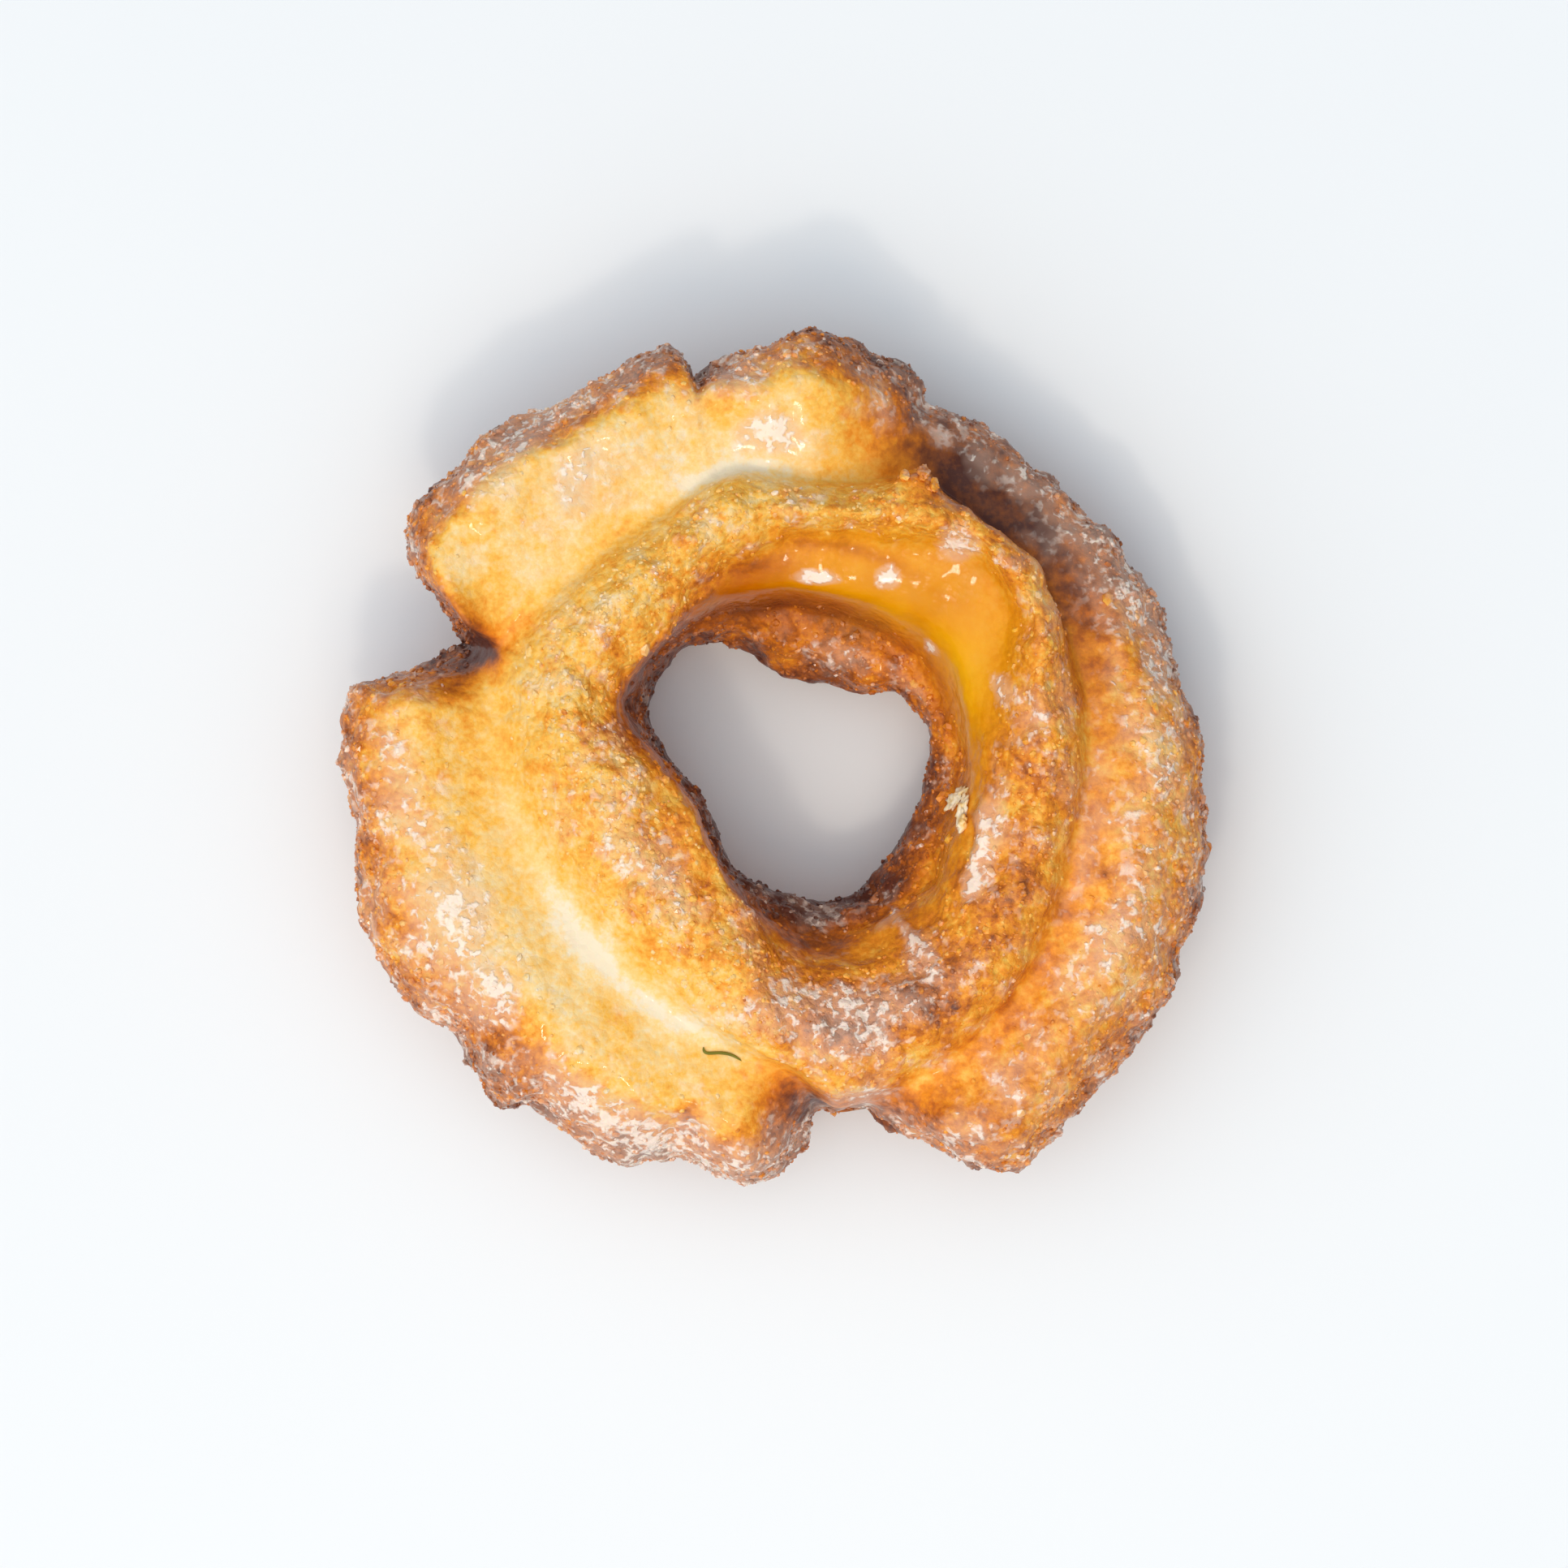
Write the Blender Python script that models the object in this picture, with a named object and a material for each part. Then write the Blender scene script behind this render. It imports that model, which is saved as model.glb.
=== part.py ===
"""A glazed old-fashioned doughnut, lying with its cracked side up.

Soft batter is dropped in hot fat as a ring. Its skin splits as the crumb swells: a
raised inner ring is left round the hole, and the outside opens into three broad petals
with craggy rims. A second split runs round the inside of the ring: it leaves a low lip
over the hole, and a smooth bank that rolls up from a crease to the edge of the crust.
The underside is a plain rounded ring with a flat resting band.

The solid is one closed grid. Its columns go round the hole by angle, and its rows go
round the cross-section: up the wall of the hole, over the ring, down into the valley,
out over the petal to its rim, back under the belly and across the resting band.
Each feature of the section is a closed curve of the angle. Angles are in degrees,
anticlockwise from +X, and lengths are in millimetres until the mesh is made.
"""

import bpy
import numpy as np

MM = 0.001
FULL_TURN = 360.0

CRUST_COLOUR = (0.62, 0.31, 0.09, 1.0)
CRUST_ROUGHNESS = 0.45

# Driving sizes: the solid is made from these and from the curves below
HOLE_CENTRE = (2.6, -1.5)
COLUMNS = 116
ROWS = 51
WAIST_DEPTH = 0.5
FOOT_INSET = 9.0
FOOT_WIDTH = 6.5
HEEL_REACH = 0.4
HEEL_HEIGHT = 2.6
INNER_BELLY_HEIGHT = 6.8
INNER_BELLY_BULGE = 0.8

# The hole and the low lip round it
THROAT_RADIUS = [
    (0, 14.0), (20, 15.2), (40, 14.0), (52, 11.1), (65, 10.3), (90, 9.9), (104, 11.6), (117, 15.2),
    (136, 18.2), (158, 16.9), (170, 13.7), (184, 11.4), (208, 10.1), (240, 11.7), (268, 12.7),
    (290, 13.9), (327, 12.7),
]
THROAT_HEIGHT = [(0, 12), (45, 10), (90, 9.5), (140, 9), (180, 12), (210, 14), (250, 13), (300, 11)]
LIP_RADIUS = [
    (0, 16.0), (20, 16.2), (45, 15.3), (60, 14.3), (80, 14.3), (100, 15.2), (116, 17.6), (136, 19.0),
    (156, 18.6), (174, 13.3), (200, 10.7), (235, 11.9), (262, 13.8), (285, 16.0), (310, 16.0), (340, 15.4),
]
LIP_HEIGHT = [
    (0, 17), (20, 15.5), (45, 14.5), (80, 15), (120, 15), (150, 15), (175, 18), (200, 19.5), (235, 19),
    (262, 17), (285, 16.5), (340, 17.5),
]

# The crease above the lip, the smooth bank rolling up from it, and the edge of the crust above
CREASE_RADIUS = [
    (0, 17.0), (20, 17.2), (45, 17.2), (60, 16.8), (80, 17.0), (100, 17.6), (116, 18.6), (136, 19.3),
    (156, 19.0), (174, 13.6), (200, 10.9), (235, 12.2), (262, 14.8), (285, 17.0), (310, 17.2), (340, 16.6),
]
CREASE_HEIGHT = [
    (0, 18.5), (20, 16.4), (45, 15), (80, 15.4), (120, 15.8), (150, 16), (175, 19.5), (200, 21.5),
    (235, 21), (262, 19), (285, 17.6), (340, 19),
]
BANK_RADIUS = [
    (0, 18.8), (20, 19.4), (45, 21.6), (60, 20.9), (80, 20.0), (100, 20.0), (118, 19.8), (138, 19.6),
    (156, 20.0), (174, 14.2), (200, 11.1), (235, 12.7), (262, 16.4), (285, 19.2), (310, 19.2), (340, 18.4),
]
BANK_HEIGHT = [
    (0, 23.5), (20, 23), (45, 23.4), (60, 24), (80, 24), (100, 23), (120, 22), (150, 22), (175, 24),
    (200, 25), (235, 24.6), (262, 22.6), (285, 21), (310, 22), (340, 23.8),
]
INNER_EDGE_RADIUS = [
    (0, 21.0), (12, 21.8), (22, 23.2), (30, 25.5), (38, 28.0), (48, 29.3), (57, 28.2), (65, 26.6),
    (75, 24.9), (90, 23.8), (106, 22.7), (120, 21.0), (136, 20.0), (155, 21.0), (166, 18.5), (175, 15.0),
    (186, 12.2), (206, 11.3), (235, 13.0), (250, 15.0), (266, 19.0), (282, 21.5), (300, 22.5), (320, 21.0),
    (342, 20.6),
]
INNER_EDGE_HEIGHT = [
    (0, 26.6), (30, 26.4), (50, 26.4), (68, 26), (90, 25.4), (120, 25), (155, 25.5), (178, 27),
    (205, 28.5), (235, 28), (260, 26), (282, 24.6), (305, 25), (340, 26.6),
]

# The ring's crest, the way it falls outwards, and the valley at its foot
CREST_RADIUS = [
    (0, 25.6), (20, 27.2), (38, 30.6), (50, 31.4), (64, 30.0), (80, 27.8), (105, 27.0), (130, 25.8),
    (152, 26.2), (168, 23.5), (186, 20.0), (206, 18.8), (232, 19.4), (252, 21.2), (268, 25.2), (284, 27.8),
    (305, 27.6), (330, 26.0),
]
CREST_HEIGHT = [
    (0, 29.5), (30, 30.2), (50, 30.6), (66, 31), (90, 29.6), (120, 29), (150, 28.8), (176, 30), (206, 31),
    (236, 30.4), (262, 29), (285, 28), (310, 28.8), (335, 29.6),
]
VALLEY_RADIUS = [
    (0, 30.8), (15, 31.6), (33, 32.7), (42, 33.8), (52, 33.2), (62, 33.5), (67.5, 34.7), (72, 32.8),
    (85, 31.1), (103, 33.0), (118, 31.2), (135, 31.6), (158, 33.7), (175, 31.4), (196, 29.6), (214, 27.9),
    (236, 28.2), (258, 30.0), (270, 31.6), (278, 35.0), (292, 34.7), (312, 33.2), (332, 31.3), (348, 30.2),
]
VALLEY_HEIGHT = [
    (0, 24.2), (20, 22), (36, 19.6), (52, 18.6), (66, 19.4), (78, 22.4), (92, 24), (120, 24), (145, 23.8),
    (158, 22.5), (175, 23.8), (200, 24.8), (230, 25), (255, 24.4), (268, 22.8), (280, 20), (295, 22.4),
    (320, 23.8), (345, 24.6),
]
SHOULDER_REACH = [
    (0, 0.6), (25, 0.7), (40, 0.86), (66, 0.9), (78, 0.68), (150, 0.56), (230, 0.5), (272, 0.78),
    (300, 0.62),
]
SHOULDER_DROP = [
    (0, 0.4), (25, 0.34), (40, 0.24), (66, 0.22), (78, 0.38), (150, 0.45), (230, 0.45), (272, 0.3),
    (300, 0.4),
]

# The petals: the outline seen from above, and how high crown, brow and rim stand
RIM_RADIUS = [
    (0, 43.0), (10.5, 42.8), (14, 42.1), (36, 42.1), (45, 41.6), (60, 42.2), (71, 41.8), (72.5, 43.4),
    (80, 45.2), (86, 46.3), (91, 46.5), (94, 45.4), (101, 45.0), (104.6, 43.4), (105.8, 46.8), (108, 47.3),
    (117, 46.3), (124, 46.4), (128, 47.6), (144, 49.2), (148.5, 48.4), (152, 44.8), (156, 39.0),
    (158.5, 37.7), (162, 39.6), (167.4, 45.4), (168.6, 48.2), (177, 48.4), (188, 47.0), (202, 47.6),
    (211, 47.2), (217, 45.6), (228, 46.8), (231.5, 45.1), (244, 45.2), (254, 42.1), (261, 43.8),
    (266, 43.0), (269, 39.8), (274, 35.4), (278, 36.0), (282, 35.9), (284.5, 38.6), (290, 41.2),
    (294.5, 45.6), (300, 47.9), (307, 46.9), (318, 45.5), (330, 45.5), (337, 44.3), (350, 43.9),
]
PETAL_OPEN = [
    (0, 1), (60, 1), (72, 1), (104, 1), (155, 1), (158, 0), (160.5, 0.1), (165, 0.55), (170, 1), (215, 1),
    (261, 1), (268, 0.5), (273.5, 0), (283, 0), (288.5, 0.5), (294.5, 1), (330, 1),
]
CROWN_SHARE = [
    (0, 0.5), (60, 0.4), (78, 0.62), (98, 0.63), (104.6, 0.7), (105.8, 0.53), (112, 0.62), (150, 0.66),
    (172, 0.5), (262, 0.45), (300, 0.5),
]
CROWN_HEIGHT = [
    (0, 24.8), (20, 22), (38, 18.6), (54, 17.4), (67, 18.2), (76, 21.8), (88, 26.8), (106, 26.4),
    (128, 27), (155, 26.2), (172, 26), (202, 26.6), (230, 26.6), (256, 25), (294, 24.6),
    (312, 25.8), (340, 25.6),
]
BROW_HEIGHT = [
    (0, 20.8), (20, 18.8), (38, 16.6), (54, 15.8), (67, 16.4), (76, 19.4), (88, 24.6), (104, 21.8),
    (106, 24.2), (128, 24), (155, 24), (172, 24), (202, 23.8), (230, 22.8), (253, 19.4), (262, 21.6),
    (296, 21.6), (330, 21.4),
]
RIM_HEIGHT = [
    (0, 15), (38, 12.6), (67, 12.6), (76, 15), (88, 18.5), (104, 15), (106, 18.8), (130, 17.8), (172, 18),
    (202, 17), (230, 15.6), (254, 13.6), (300, 16), (330, 15.5),
]
GAP_CROWN_HEIGHT = 17.0
GAP_BROW_HEIGHT = 13.0
GAP_RIM_HEIGHT = 9.5
BROW_SHARE = 0.84
UNDER_RIM_REACH = 0.55
UNDER_RIM_RISE = 0.45

# The belly under the petals, and where it rests
BODY_RADIUS = [
    (0, 39.8), (40, 39.2), (70, 39.6), (100, 40.8), (130, 41.2), (148, 40.4), (158, 36.8), (170, 40.8),
    (185, 41.6), (215, 41), (250, 39.4), (264, 38.4), (277, 34.2), (290, 38.2), (305, 41), (330, 40.6),
]
WAIST_HEIGHT = [(0, 10.2), (55, 8.4), (110, 11.2), (150, 10), (205, 10.8), (250, 9), (300, 10.8)]
BELLY_HEIGHT = [(0, 6.4), (70, 5.2), (130, 6.8), (210, 6.2), (270, 5), (320, 6.6)]

# Where the section's features lie on its way round, in millimetres of a middling section
SECTION = [
    ("throat", 0), ("lip", 6), ("crease", 9), ("bank", 14), ("inner_edge", 19), ("crest", 25),
    ("shoulder", 32), ("valley", 38), ("crown", 46), ("brow", 53), ("rim", 59), ("under_rim", 65),
    ("waist", 70), ("belly", 75), ("foot_outer", 83), ("foot_inner", 93), ("heel", 100),
    ("inner_belly", 106),
]
SECTION_LENGTH = 112.0

# How craggy the crust is at each feature, and the layers of crags: size, share and seed
CRAG_DEPTH = {
    "throat": 0.5, "lip": 0.7, "crease": 0.3, "bank": 0.3, "inner_edge": 0.6, "crest": 0.9,
    "shoulder": 0.5, "valley": 0.15, "crown": 0.25, "brow": 0.7, "rim": 0.8, "under_rim": 0.8,
    "waist": 0.8, "belly": 0.8, "foot_outer": 0.0, "foot_inner": 0.0, "heel": 0.4, "inner_belly": 0.4,
}
CRAG_LAYERS = [(15.0, 0.9, 11), (8.0, 0.8, 12), (4.8, 0.6, 13)]
LATTICE_CELLS = 256
RELIEF_GAIN = 1.6

# Places where the outline turns sharply, so the columns stand closer: angle, spread, extra
FINE_ANGLES = 3601
CLOSE_COLUMNS = [
    (71.8, 1.5, 2.5), (105.2, 1.5, 3.0), (156, 4.0, 1.8), (168.2, 2.0, 2.5), (270, 4.0, 1.2),
    (287, 5.0, 1.2),
]


def closed_curve(knots, values, at, period):
    """Values of a smooth closed curve through the knots that never overshoots them.

    Each span is a cubic. The slope at a knot is the harmonic mean of the two straight
    slopes beside it, or level where the curve turns back.
    """
    knots = np.asarray(knots, float)
    values = np.asarray(values, float)
    places = np.concatenate([knots[-2:] - period, knots, knots[:2] + period])
    held = np.concatenate([values[-2:], values, values[:2]])
    tall = (-1,) + (1,) * (values.ndim - 1)
    slopes = np.diff(held, axis=0) / np.diff(places).reshape(tall)
    before, after = slopes[:-1], slopes[1:]
    going_on = before * after > 0
    total = np.where(going_on, before + after, 1.0)
    tangents = np.where(going_on, 2 * before * after / total, 0.0)
    places, held = places[1:-1], held[1:-1]
    at = (np.asarray(at, float) - places[0]) % period + places[0]
    span = np.clip(np.searchsorted(places, at, side="right") - 1, 0, len(places) - 2)
    width = (places[span + 1] - places[span]).reshape(tall)
    t = ((at - places[span]) / (places[span + 1] - places[span])).reshape(tall)
    rise = held[span + 1] - held[span]
    ease = t * t * (3 - 2 * t)
    lean_in = t * (1 - t) ** 2 * width * tangents[span]
    lean_out = t * t * (1 - t) * width * tangents[span + 1]
    return held[span] + ease * rise + lean_in - lean_out


def around(pairs, angles):
    """A feature's value at each angle, from its (angle, value) pairs."""
    knots, values = zip(*pairs)
    return closed_curve(knots, values, angles, FULL_TURN)


def column_angles(count):
    """Angles of the grid's columns, which crowd together where the outline turns sharply."""
    fine = np.linspace(0.0, FULL_TURN, FINE_ANGLES)
    density = np.ones_like(fine)
    for centre, spread, extra in CLOSE_COLUMNS:
        density += extra * np.exp(-(((fine - centre) / spread) ** 2))
    passed = np.concatenate([[0.0], np.cumsum((density[1:] + density[:-1]) / 2)])
    return np.interp(np.arange(count) / count, passed / passed[-1], fine)


def lattice_noise(points, size, seed):
    """Smooth random relief from -1 to 1: random slopes on a lattice, eased between its corners."""
    rng = np.random.RandomState(seed)
    order = rng.permutation(LATTICE_CELLS)
    slopes = rng.normal(size=(LATTICE_CELLS, 3))
    slopes /= np.linalg.norm(slopes, axis=1, keepdims=True)
    scaled = points / size
    corner = np.floor(scaled).astype(int)
    offset = scaled - corner
    ease = offset**3 * (offset * (offset * 6 - 15) + 10)
    total = np.zeros(points.shape[:-1])
    for step in np.ndindex(2, 2, 2):
        cell = (corner + step) % LATTICE_CELLS
        pick = order[(order[cell[..., 0]] + cell[..., 1]) % LATTICE_CELLS]
        pick = order[(pick + cell[..., 2]) % LATTICE_CELLS]
        weight = np.where(np.array(step) == 1, ease, 1 - ease).prod(axis=-1)
        total += weight * (slopes[pick] * (offset - step)).sum(axis=-1)
    return total * RELIEF_GAIN


def mix(low, high, share):
    return low + (high - low) * share


def section_features(angles):
    """Radius and height of every feature of the cross-section at each angle."""
    throat = around(THROAT_RADIUS, angles)
    valley = around(VALLEY_RADIUS, angles)
    valley_height = around(VALLEY_HEIGHT, angles)
    crest = around(CREST_RADIUS, angles)
    crest_height = around(CREST_HEIGHT, angles)
    rim = around(RIM_RADIUS, angles)
    body = around(BODY_RADIUS, angles)
    petal = around(PETAL_OPEN, angles)
    rim_height = mix(GAP_RIM_HEIGHT, around(RIM_HEIGHT, angles), petal)
    waist_height = around(WAIST_HEIGHT, angles)
    foot = body - FOOT_INSET
    inner_foot = foot - FOOT_WIDTH
    level = np.zeros_like(angles)
    return {
        "throat": (throat, around(THROAT_HEIGHT, angles)),
        "lip": (around(LIP_RADIUS, angles), around(LIP_HEIGHT, angles)),
        "crease": (around(CREASE_RADIUS, angles), around(CREASE_HEIGHT, angles)),
        "bank": (around(BANK_RADIUS, angles), around(BANK_HEIGHT, angles)),
        "inner_edge": (around(INNER_EDGE_RADIUS, angles), around(INNER_EDGE_HEIGHT, angles)),
        "crest": (crest, crest_height),
        "shoulder": (
            mix(crest, valley, around(SHOULDER_REACH, angles)),
            mix(crest_height, valley_height, around(SHOULDER_DROP, angles)),
        ),
        "valley": (valley, valley_height),
        "crown": (
            mix(valley, rim, around(CROWN_SHARE, angles)),
            mix(GAP_CROWN_HEIGHT, around(CROWN_HEIGHT, angles), petal),
        ),
        "brow": (
            mix(valley, rim, BROW_SHARE),
            mix(GAP_BROW_HEIGHT, around(BROW_HEIGHT, angles), petal),
        ),
        "rim": (rim, rim_height),
        "under_rim": (
            mix(body, rim, UNDER_RIM_REACH),
            mix(waist_height, rim_height, UNDER_RIM_RISE),
        ),
        "waist": (body - WAIST_DEPTH, waist_height),
        "belly": (body, around(BELLY_HEIGHT, angles)),
        "foot_outer": (foot, level),
        "foot_inner": (inner_foot, level),
        "heel": (mix(throat, inner_foot, HEEL_REACH), level + HEEL_HEIGHT),
        "inner_belly": (throat + INNER_BELLY_BULGE, level + INNER_BELLY_HEIGHT),
    }


def grid_normals(points):
    """Outward unit normals of a closed grid of rows by columns."""
    along_row = np.roll(points, -1, axis=1) - np.roll(points, 1, axis=1)
    along_column = np.roll(points, -1, axis=0) - np.roll(points, 1, axis=0)
    normals = np.cross(along_column, along_row)
    return normals / np.linalg.norm(normals, axis=-1, keepdims=True)


def doughnut_points(rows, columns):
    """The grid of points, rows round the section by columns round the hole, in millimetres."""
    angles = column_angles(columns)
    way = np.arange(rows) / rows * SECTION_LENGTH
    features = section_features(angles)
    knots = [place for _, place in SECTION]
    radius = closed_curve(knots, [features[name][0] for name, _ in SECTION], way, SECTION_LENGTH)
    height = closed_curve(knots, [features[name][1] for name, _ in SECTION], way, SECTION_LENGTH)
    depth = closed_curve(knots, [CRAG_DEPTH[name] for name, _ in SECTION], way, SECTION_LENGTH)
    turn = np.radians(angles)
    points = np.stack([radius * np.cos(turn), radius * np.sin(turn), height], axis=-1)
    relief = sum(share * lattice_noise(points, size, seed) for size, share, seed in CRAG_LAYERS)
    points = points + grid_normals(points) * (relief * depth[:, None])[..., None]
    points[..., :2] += HOLE_CENTRE
    points[..., 2] = np.maximum(points[..., 2], 0.0)
    middle = (points[..., :2].max(axis=(0, 1)) + points[..., :2].min(axis=(0, 1))) / 2
    points[..., :2] -= middle
    return points


def grid_faces(rows, columns):
    """Four-sided faces between neighbouring rows and columns, closed both ways round."""
    row, column = np.meshgrid(np.arange(rows), np.arange(columns), indexing="ij")
    next_row = (row + 1) % rows
    next_column = (column + 1) % columns
    corners = [(row, column), (next_row, column), (next_row, next_column), (row, next_column)]
    return np.stack([r * columns + c for r, c in corners], axis=-1).reshape(-1, 4)


def fried_crust():
    """Golden-brown fried dough under a thin sugar glaze."""
    material = bpy.data.materials.new("fried_crust")
    material.use_nodes = True
    shader = material.node_tree.nodes["Principled BSDF"]
    shader.inputs["Base Color"].default_value = CRUST_COLOUR
    shader.inputs["Roughness"].default_value = CRUST_ROUGHNESS
    shader.inputs["Metallic"].default_value = 0.0
    return material


def build_doughnut():
    points = doughnut_points(ROWS, COLUMNS) * MM
    mesh = bpy.data.meshes.new("doughnut")
    mesh.from_pydata(points.reshape(-1, 3).tolist(), [], grid_faces(ROWS, COLUMNS).tolist())
    mesh.shade_smooth()
    mesh.materials.append(fried_crust())
    doughnut = bpy.data.objects.new("doughnut", mesh)
    bpy.context.scene.collection.objects.link(doughnut)


for leftover in list(bpy.data.objects):
    bpy.data.objects.remove(leftover)
build_doughnut()
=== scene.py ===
"""A glazed old-fashioned doughnut on a pale table, seen from straight above."""

import bpy
import numpy as np
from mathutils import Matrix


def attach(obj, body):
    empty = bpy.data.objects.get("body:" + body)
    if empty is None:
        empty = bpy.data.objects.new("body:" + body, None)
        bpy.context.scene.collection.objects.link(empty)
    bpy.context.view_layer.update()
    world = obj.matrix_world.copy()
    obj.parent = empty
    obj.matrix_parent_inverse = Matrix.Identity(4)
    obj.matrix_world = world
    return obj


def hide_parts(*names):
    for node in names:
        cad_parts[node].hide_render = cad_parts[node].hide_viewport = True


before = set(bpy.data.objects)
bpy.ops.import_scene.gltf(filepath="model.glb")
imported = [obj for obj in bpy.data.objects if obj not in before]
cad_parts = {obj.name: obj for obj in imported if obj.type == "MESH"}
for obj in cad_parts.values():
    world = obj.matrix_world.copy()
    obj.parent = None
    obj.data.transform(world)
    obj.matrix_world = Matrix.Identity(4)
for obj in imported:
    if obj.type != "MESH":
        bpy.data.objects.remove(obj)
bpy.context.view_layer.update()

# The table is a plain white board, wide enough to run out of the picture on every side.
# It is matt, with a faint cool cast, so the doughnut's soft shadow shows blue-grey on it.
MM = 0.001
TABLE_SIDE = 3.0
TABLE_DROP = 0.02 * MM
TABLE_COLOUR = (238, 242, 247)
TABLE_CLOUD = (241, 245, 249)
TABLE_ROUGHNESS = 0.6


def linear(colour, alpha=1.0):
    """A colour from 0 to 255 on a screen, as the light it stands for: the screen's curve undone."""
    share = np.array(colour) / 255
    light = np.where(share <= 0.04045, share / 12.92, ((share + 0.055) / 1.055) ** 2.4)
    return (*light.tolist(), alpha)


def new_material(name):
    """A new material, with its node tree and its shader."""
    material = bpy.data.materials.new(name)
    material.use_nodes = True
    return material, material.node_tree, material.node_tree.nodes["Principled BSDF"]


def add_node(tree, kind, settings=None, **inputs):
    """Adds a node with its settings, and feeds its inputs a value or another node's output.

    An input goes by its name, or by its place as i0, i1 and so on.
    """
    node = tree.nodes.new(kind)
    for name, value in (settings or {}).items():
        setattr(node, name, value)
    for name, value in inputs.items():
        by_place = name[0] == "i" and name[1:].isdigit()
        socket = node.inputs[int(name[1:])] if by_place else node.inputs[name]
        if isinstance(value, bpy.types.NodeSocket):
            tree.links.new(value, socket)
        else:
            socket.default_value = value
    return node


def blend(tree, share, first, second):
    """The colour a share of the way from the first to the second."""
    kind = {"data_type": "RGBA"}
    return add_node(tree, "ShaderNodeMix", kind, Factor=share, A=first, B=second).outputs["Result"]


def mesh_object(name, points, faces, material):
    """A smooth mesh object at the origin, from points in metres."""
    mesh = bpy.data.meshes.new(name)
    mesh.from_pydata(points.reshape(-1, 3).tolist(), [], faces.tolist())
    mesh.shade_smooth()
    mesh.materials.append(material)
    piece = bpy.data.objects.new(name, mesh)
    bpy.context.scene.collection.objects.link(piece)
    return piece


white_board, tree, shader = new_material("white_board")
where = add_node(tree, "ShaderNodeTexCoord")
cloudy = add_node(tree, "ShaderNodeTexNoise", Vector=where.outputs["Object"], Scale=9.0, Detail=3.0)
tint = blend(tree, cloudy.outputs["Fac"], linear(TABLE_COLOUR), linear(TABLE_CLOUD))
tree.links.new(tint, shader.inputs["Base Color"])
shader.inputs["Roughness"].default_value = TABLE_ROUGHNESS
half = TABLE_SIDE / 2
corners = np.array([(-half, -half), (half, -half), (half, half), (-half, half)])
table = mesh_object(
    "table", np.column_stack([corners, np.full(4, -TABLE_DROP)]), np.array([[0, 1, 2, 3]]), white_board
)

# The light is a pale room, brightest above and a little to the lower left. A warm window low in the
# picture throws the soft shadow, and a small lamp beside it makes the glaze's sharp highlights.
# The camera looks straight down from a metre up, at the point under the picture's middle.
LAMP_AIM = (0.0, 0.0, 15 * MM)
VIEW_MIDDLE = (0.98 * MM, -2.91 * MM)
CAMERA_HEIGHT = 1.0
PICTURE_WIDTH = 165.3 * MM
PICTURE_LEVEL = 16 * MM
SENSOR_MM = 36.0
BRIGHT_SKY = (-0.26, -0.17, 0.95)
SKY_FOCUS = 3.0
SKY_STRENGTH = 1.8
ROOM_STRENGTH = 0.24
ROOM_TINT = (0.82, 0.93, 1.04, 1.0)
SKY_TINT = (0.9, 0.938, 0.953, 1.0)


def area_light(name, azimuth, elevation, distance, size, power, colour, mirrored):
    """A lamp of a width and height, aimed at the doughnut from an azimuth off +Y and an elevation.

    The angles are in degrees and the lengths in metres. Only a mirrored lamp shows its own image
    in the glaze.
    """
    data = bpy.data.lights.new(name, "AREA")
    data.shape = "RECTANGLE"
    data.size, data.size_y = size
    data.energy = power
    data.color = colour
    lamp = bpy.data.objects.new(name, data)
    turn, rise = np.radians([azimuth, elevation])
    way = np.array([np.sin(turn) * np.cos(rise), np.cos(turn) * np.cos(rise), np.sin(rise)])
    lamp.location = np.array(LAMP_AIM) + way * distance
    lamp.rotation_euler = (np.pi / 2 - rise, 0.0, np.pi - turn)
    lamp.visible_glossy = mirrored
    bpy.context.scene.collection.objects.link(lamp)


area_light("window", 190, 62, 1.0, (0.5, 0.28), 1.9, (1.0, 0.76, 0.52), False)
area_light("glint", 192, 60, 0.8, (0.075, 0.055), 0.62, (1.0, 0.88, 0.74), True)
world = bpy.data.worlds.new("pale_room")
world.use_nodes = True
tree = world.node_tree
room = tree.nodes["Background"]
skyward = add_node(tree, "ShaderNodeTexCoord").outputs["Generated"]
nearness = add_node(tree, "ShaderNodeVectorMath", {"operation": "DOT_PRODUCT"}, i0=skyward, i1=BRIGHT_SKY)
facing = add_node(tree, "ShaderNodeMath", {"operation": "MAXIMUM"}, i0=nearness.outputs["Value"], i1=0.0)
facing = facing.outputs[0]
overhead = add_node(tree, "ShaderNodeMath", {"operation": "POWER"}, i0=facing, i1=SKY_FOCUS).outputs[0]
brightness = {"i0": overhead, "i1": SKY_STRENGTH, "i2": ROOM_STRENGTH}
glow = add_node(tree, "ShaderNodeMath", {"operation": "MULTIPLY_ADD"}, **brightness)
tree.links.new(blend(tree, facing, ROOM_TINT, SKY_TINT), room.inputs["Color"])
tree.links.new(glow.outputs[0], room.inputs["Strength"])
bpy.context.scene.world = world
bpy.context.scene.view_settings.view_transform = "Standard"

camera_data = bpy.data.cameras.new("overhead")
camera_data.sensor_width = SENSOR_MM
camera_data.lens = SENSOR_MM * (CAMERA_HEIGHT - PICTURE_LEVEL) / PICTURE_WIDTH
camera = bpy.data.objects.new("overhead", camera_data)
camera.location = (*VIEW_MIDDLE, CAMERA_HEIGHT)
bpy.context.scene.collection.objects.link(camera)
bpy.context.scene.camera = camera

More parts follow.
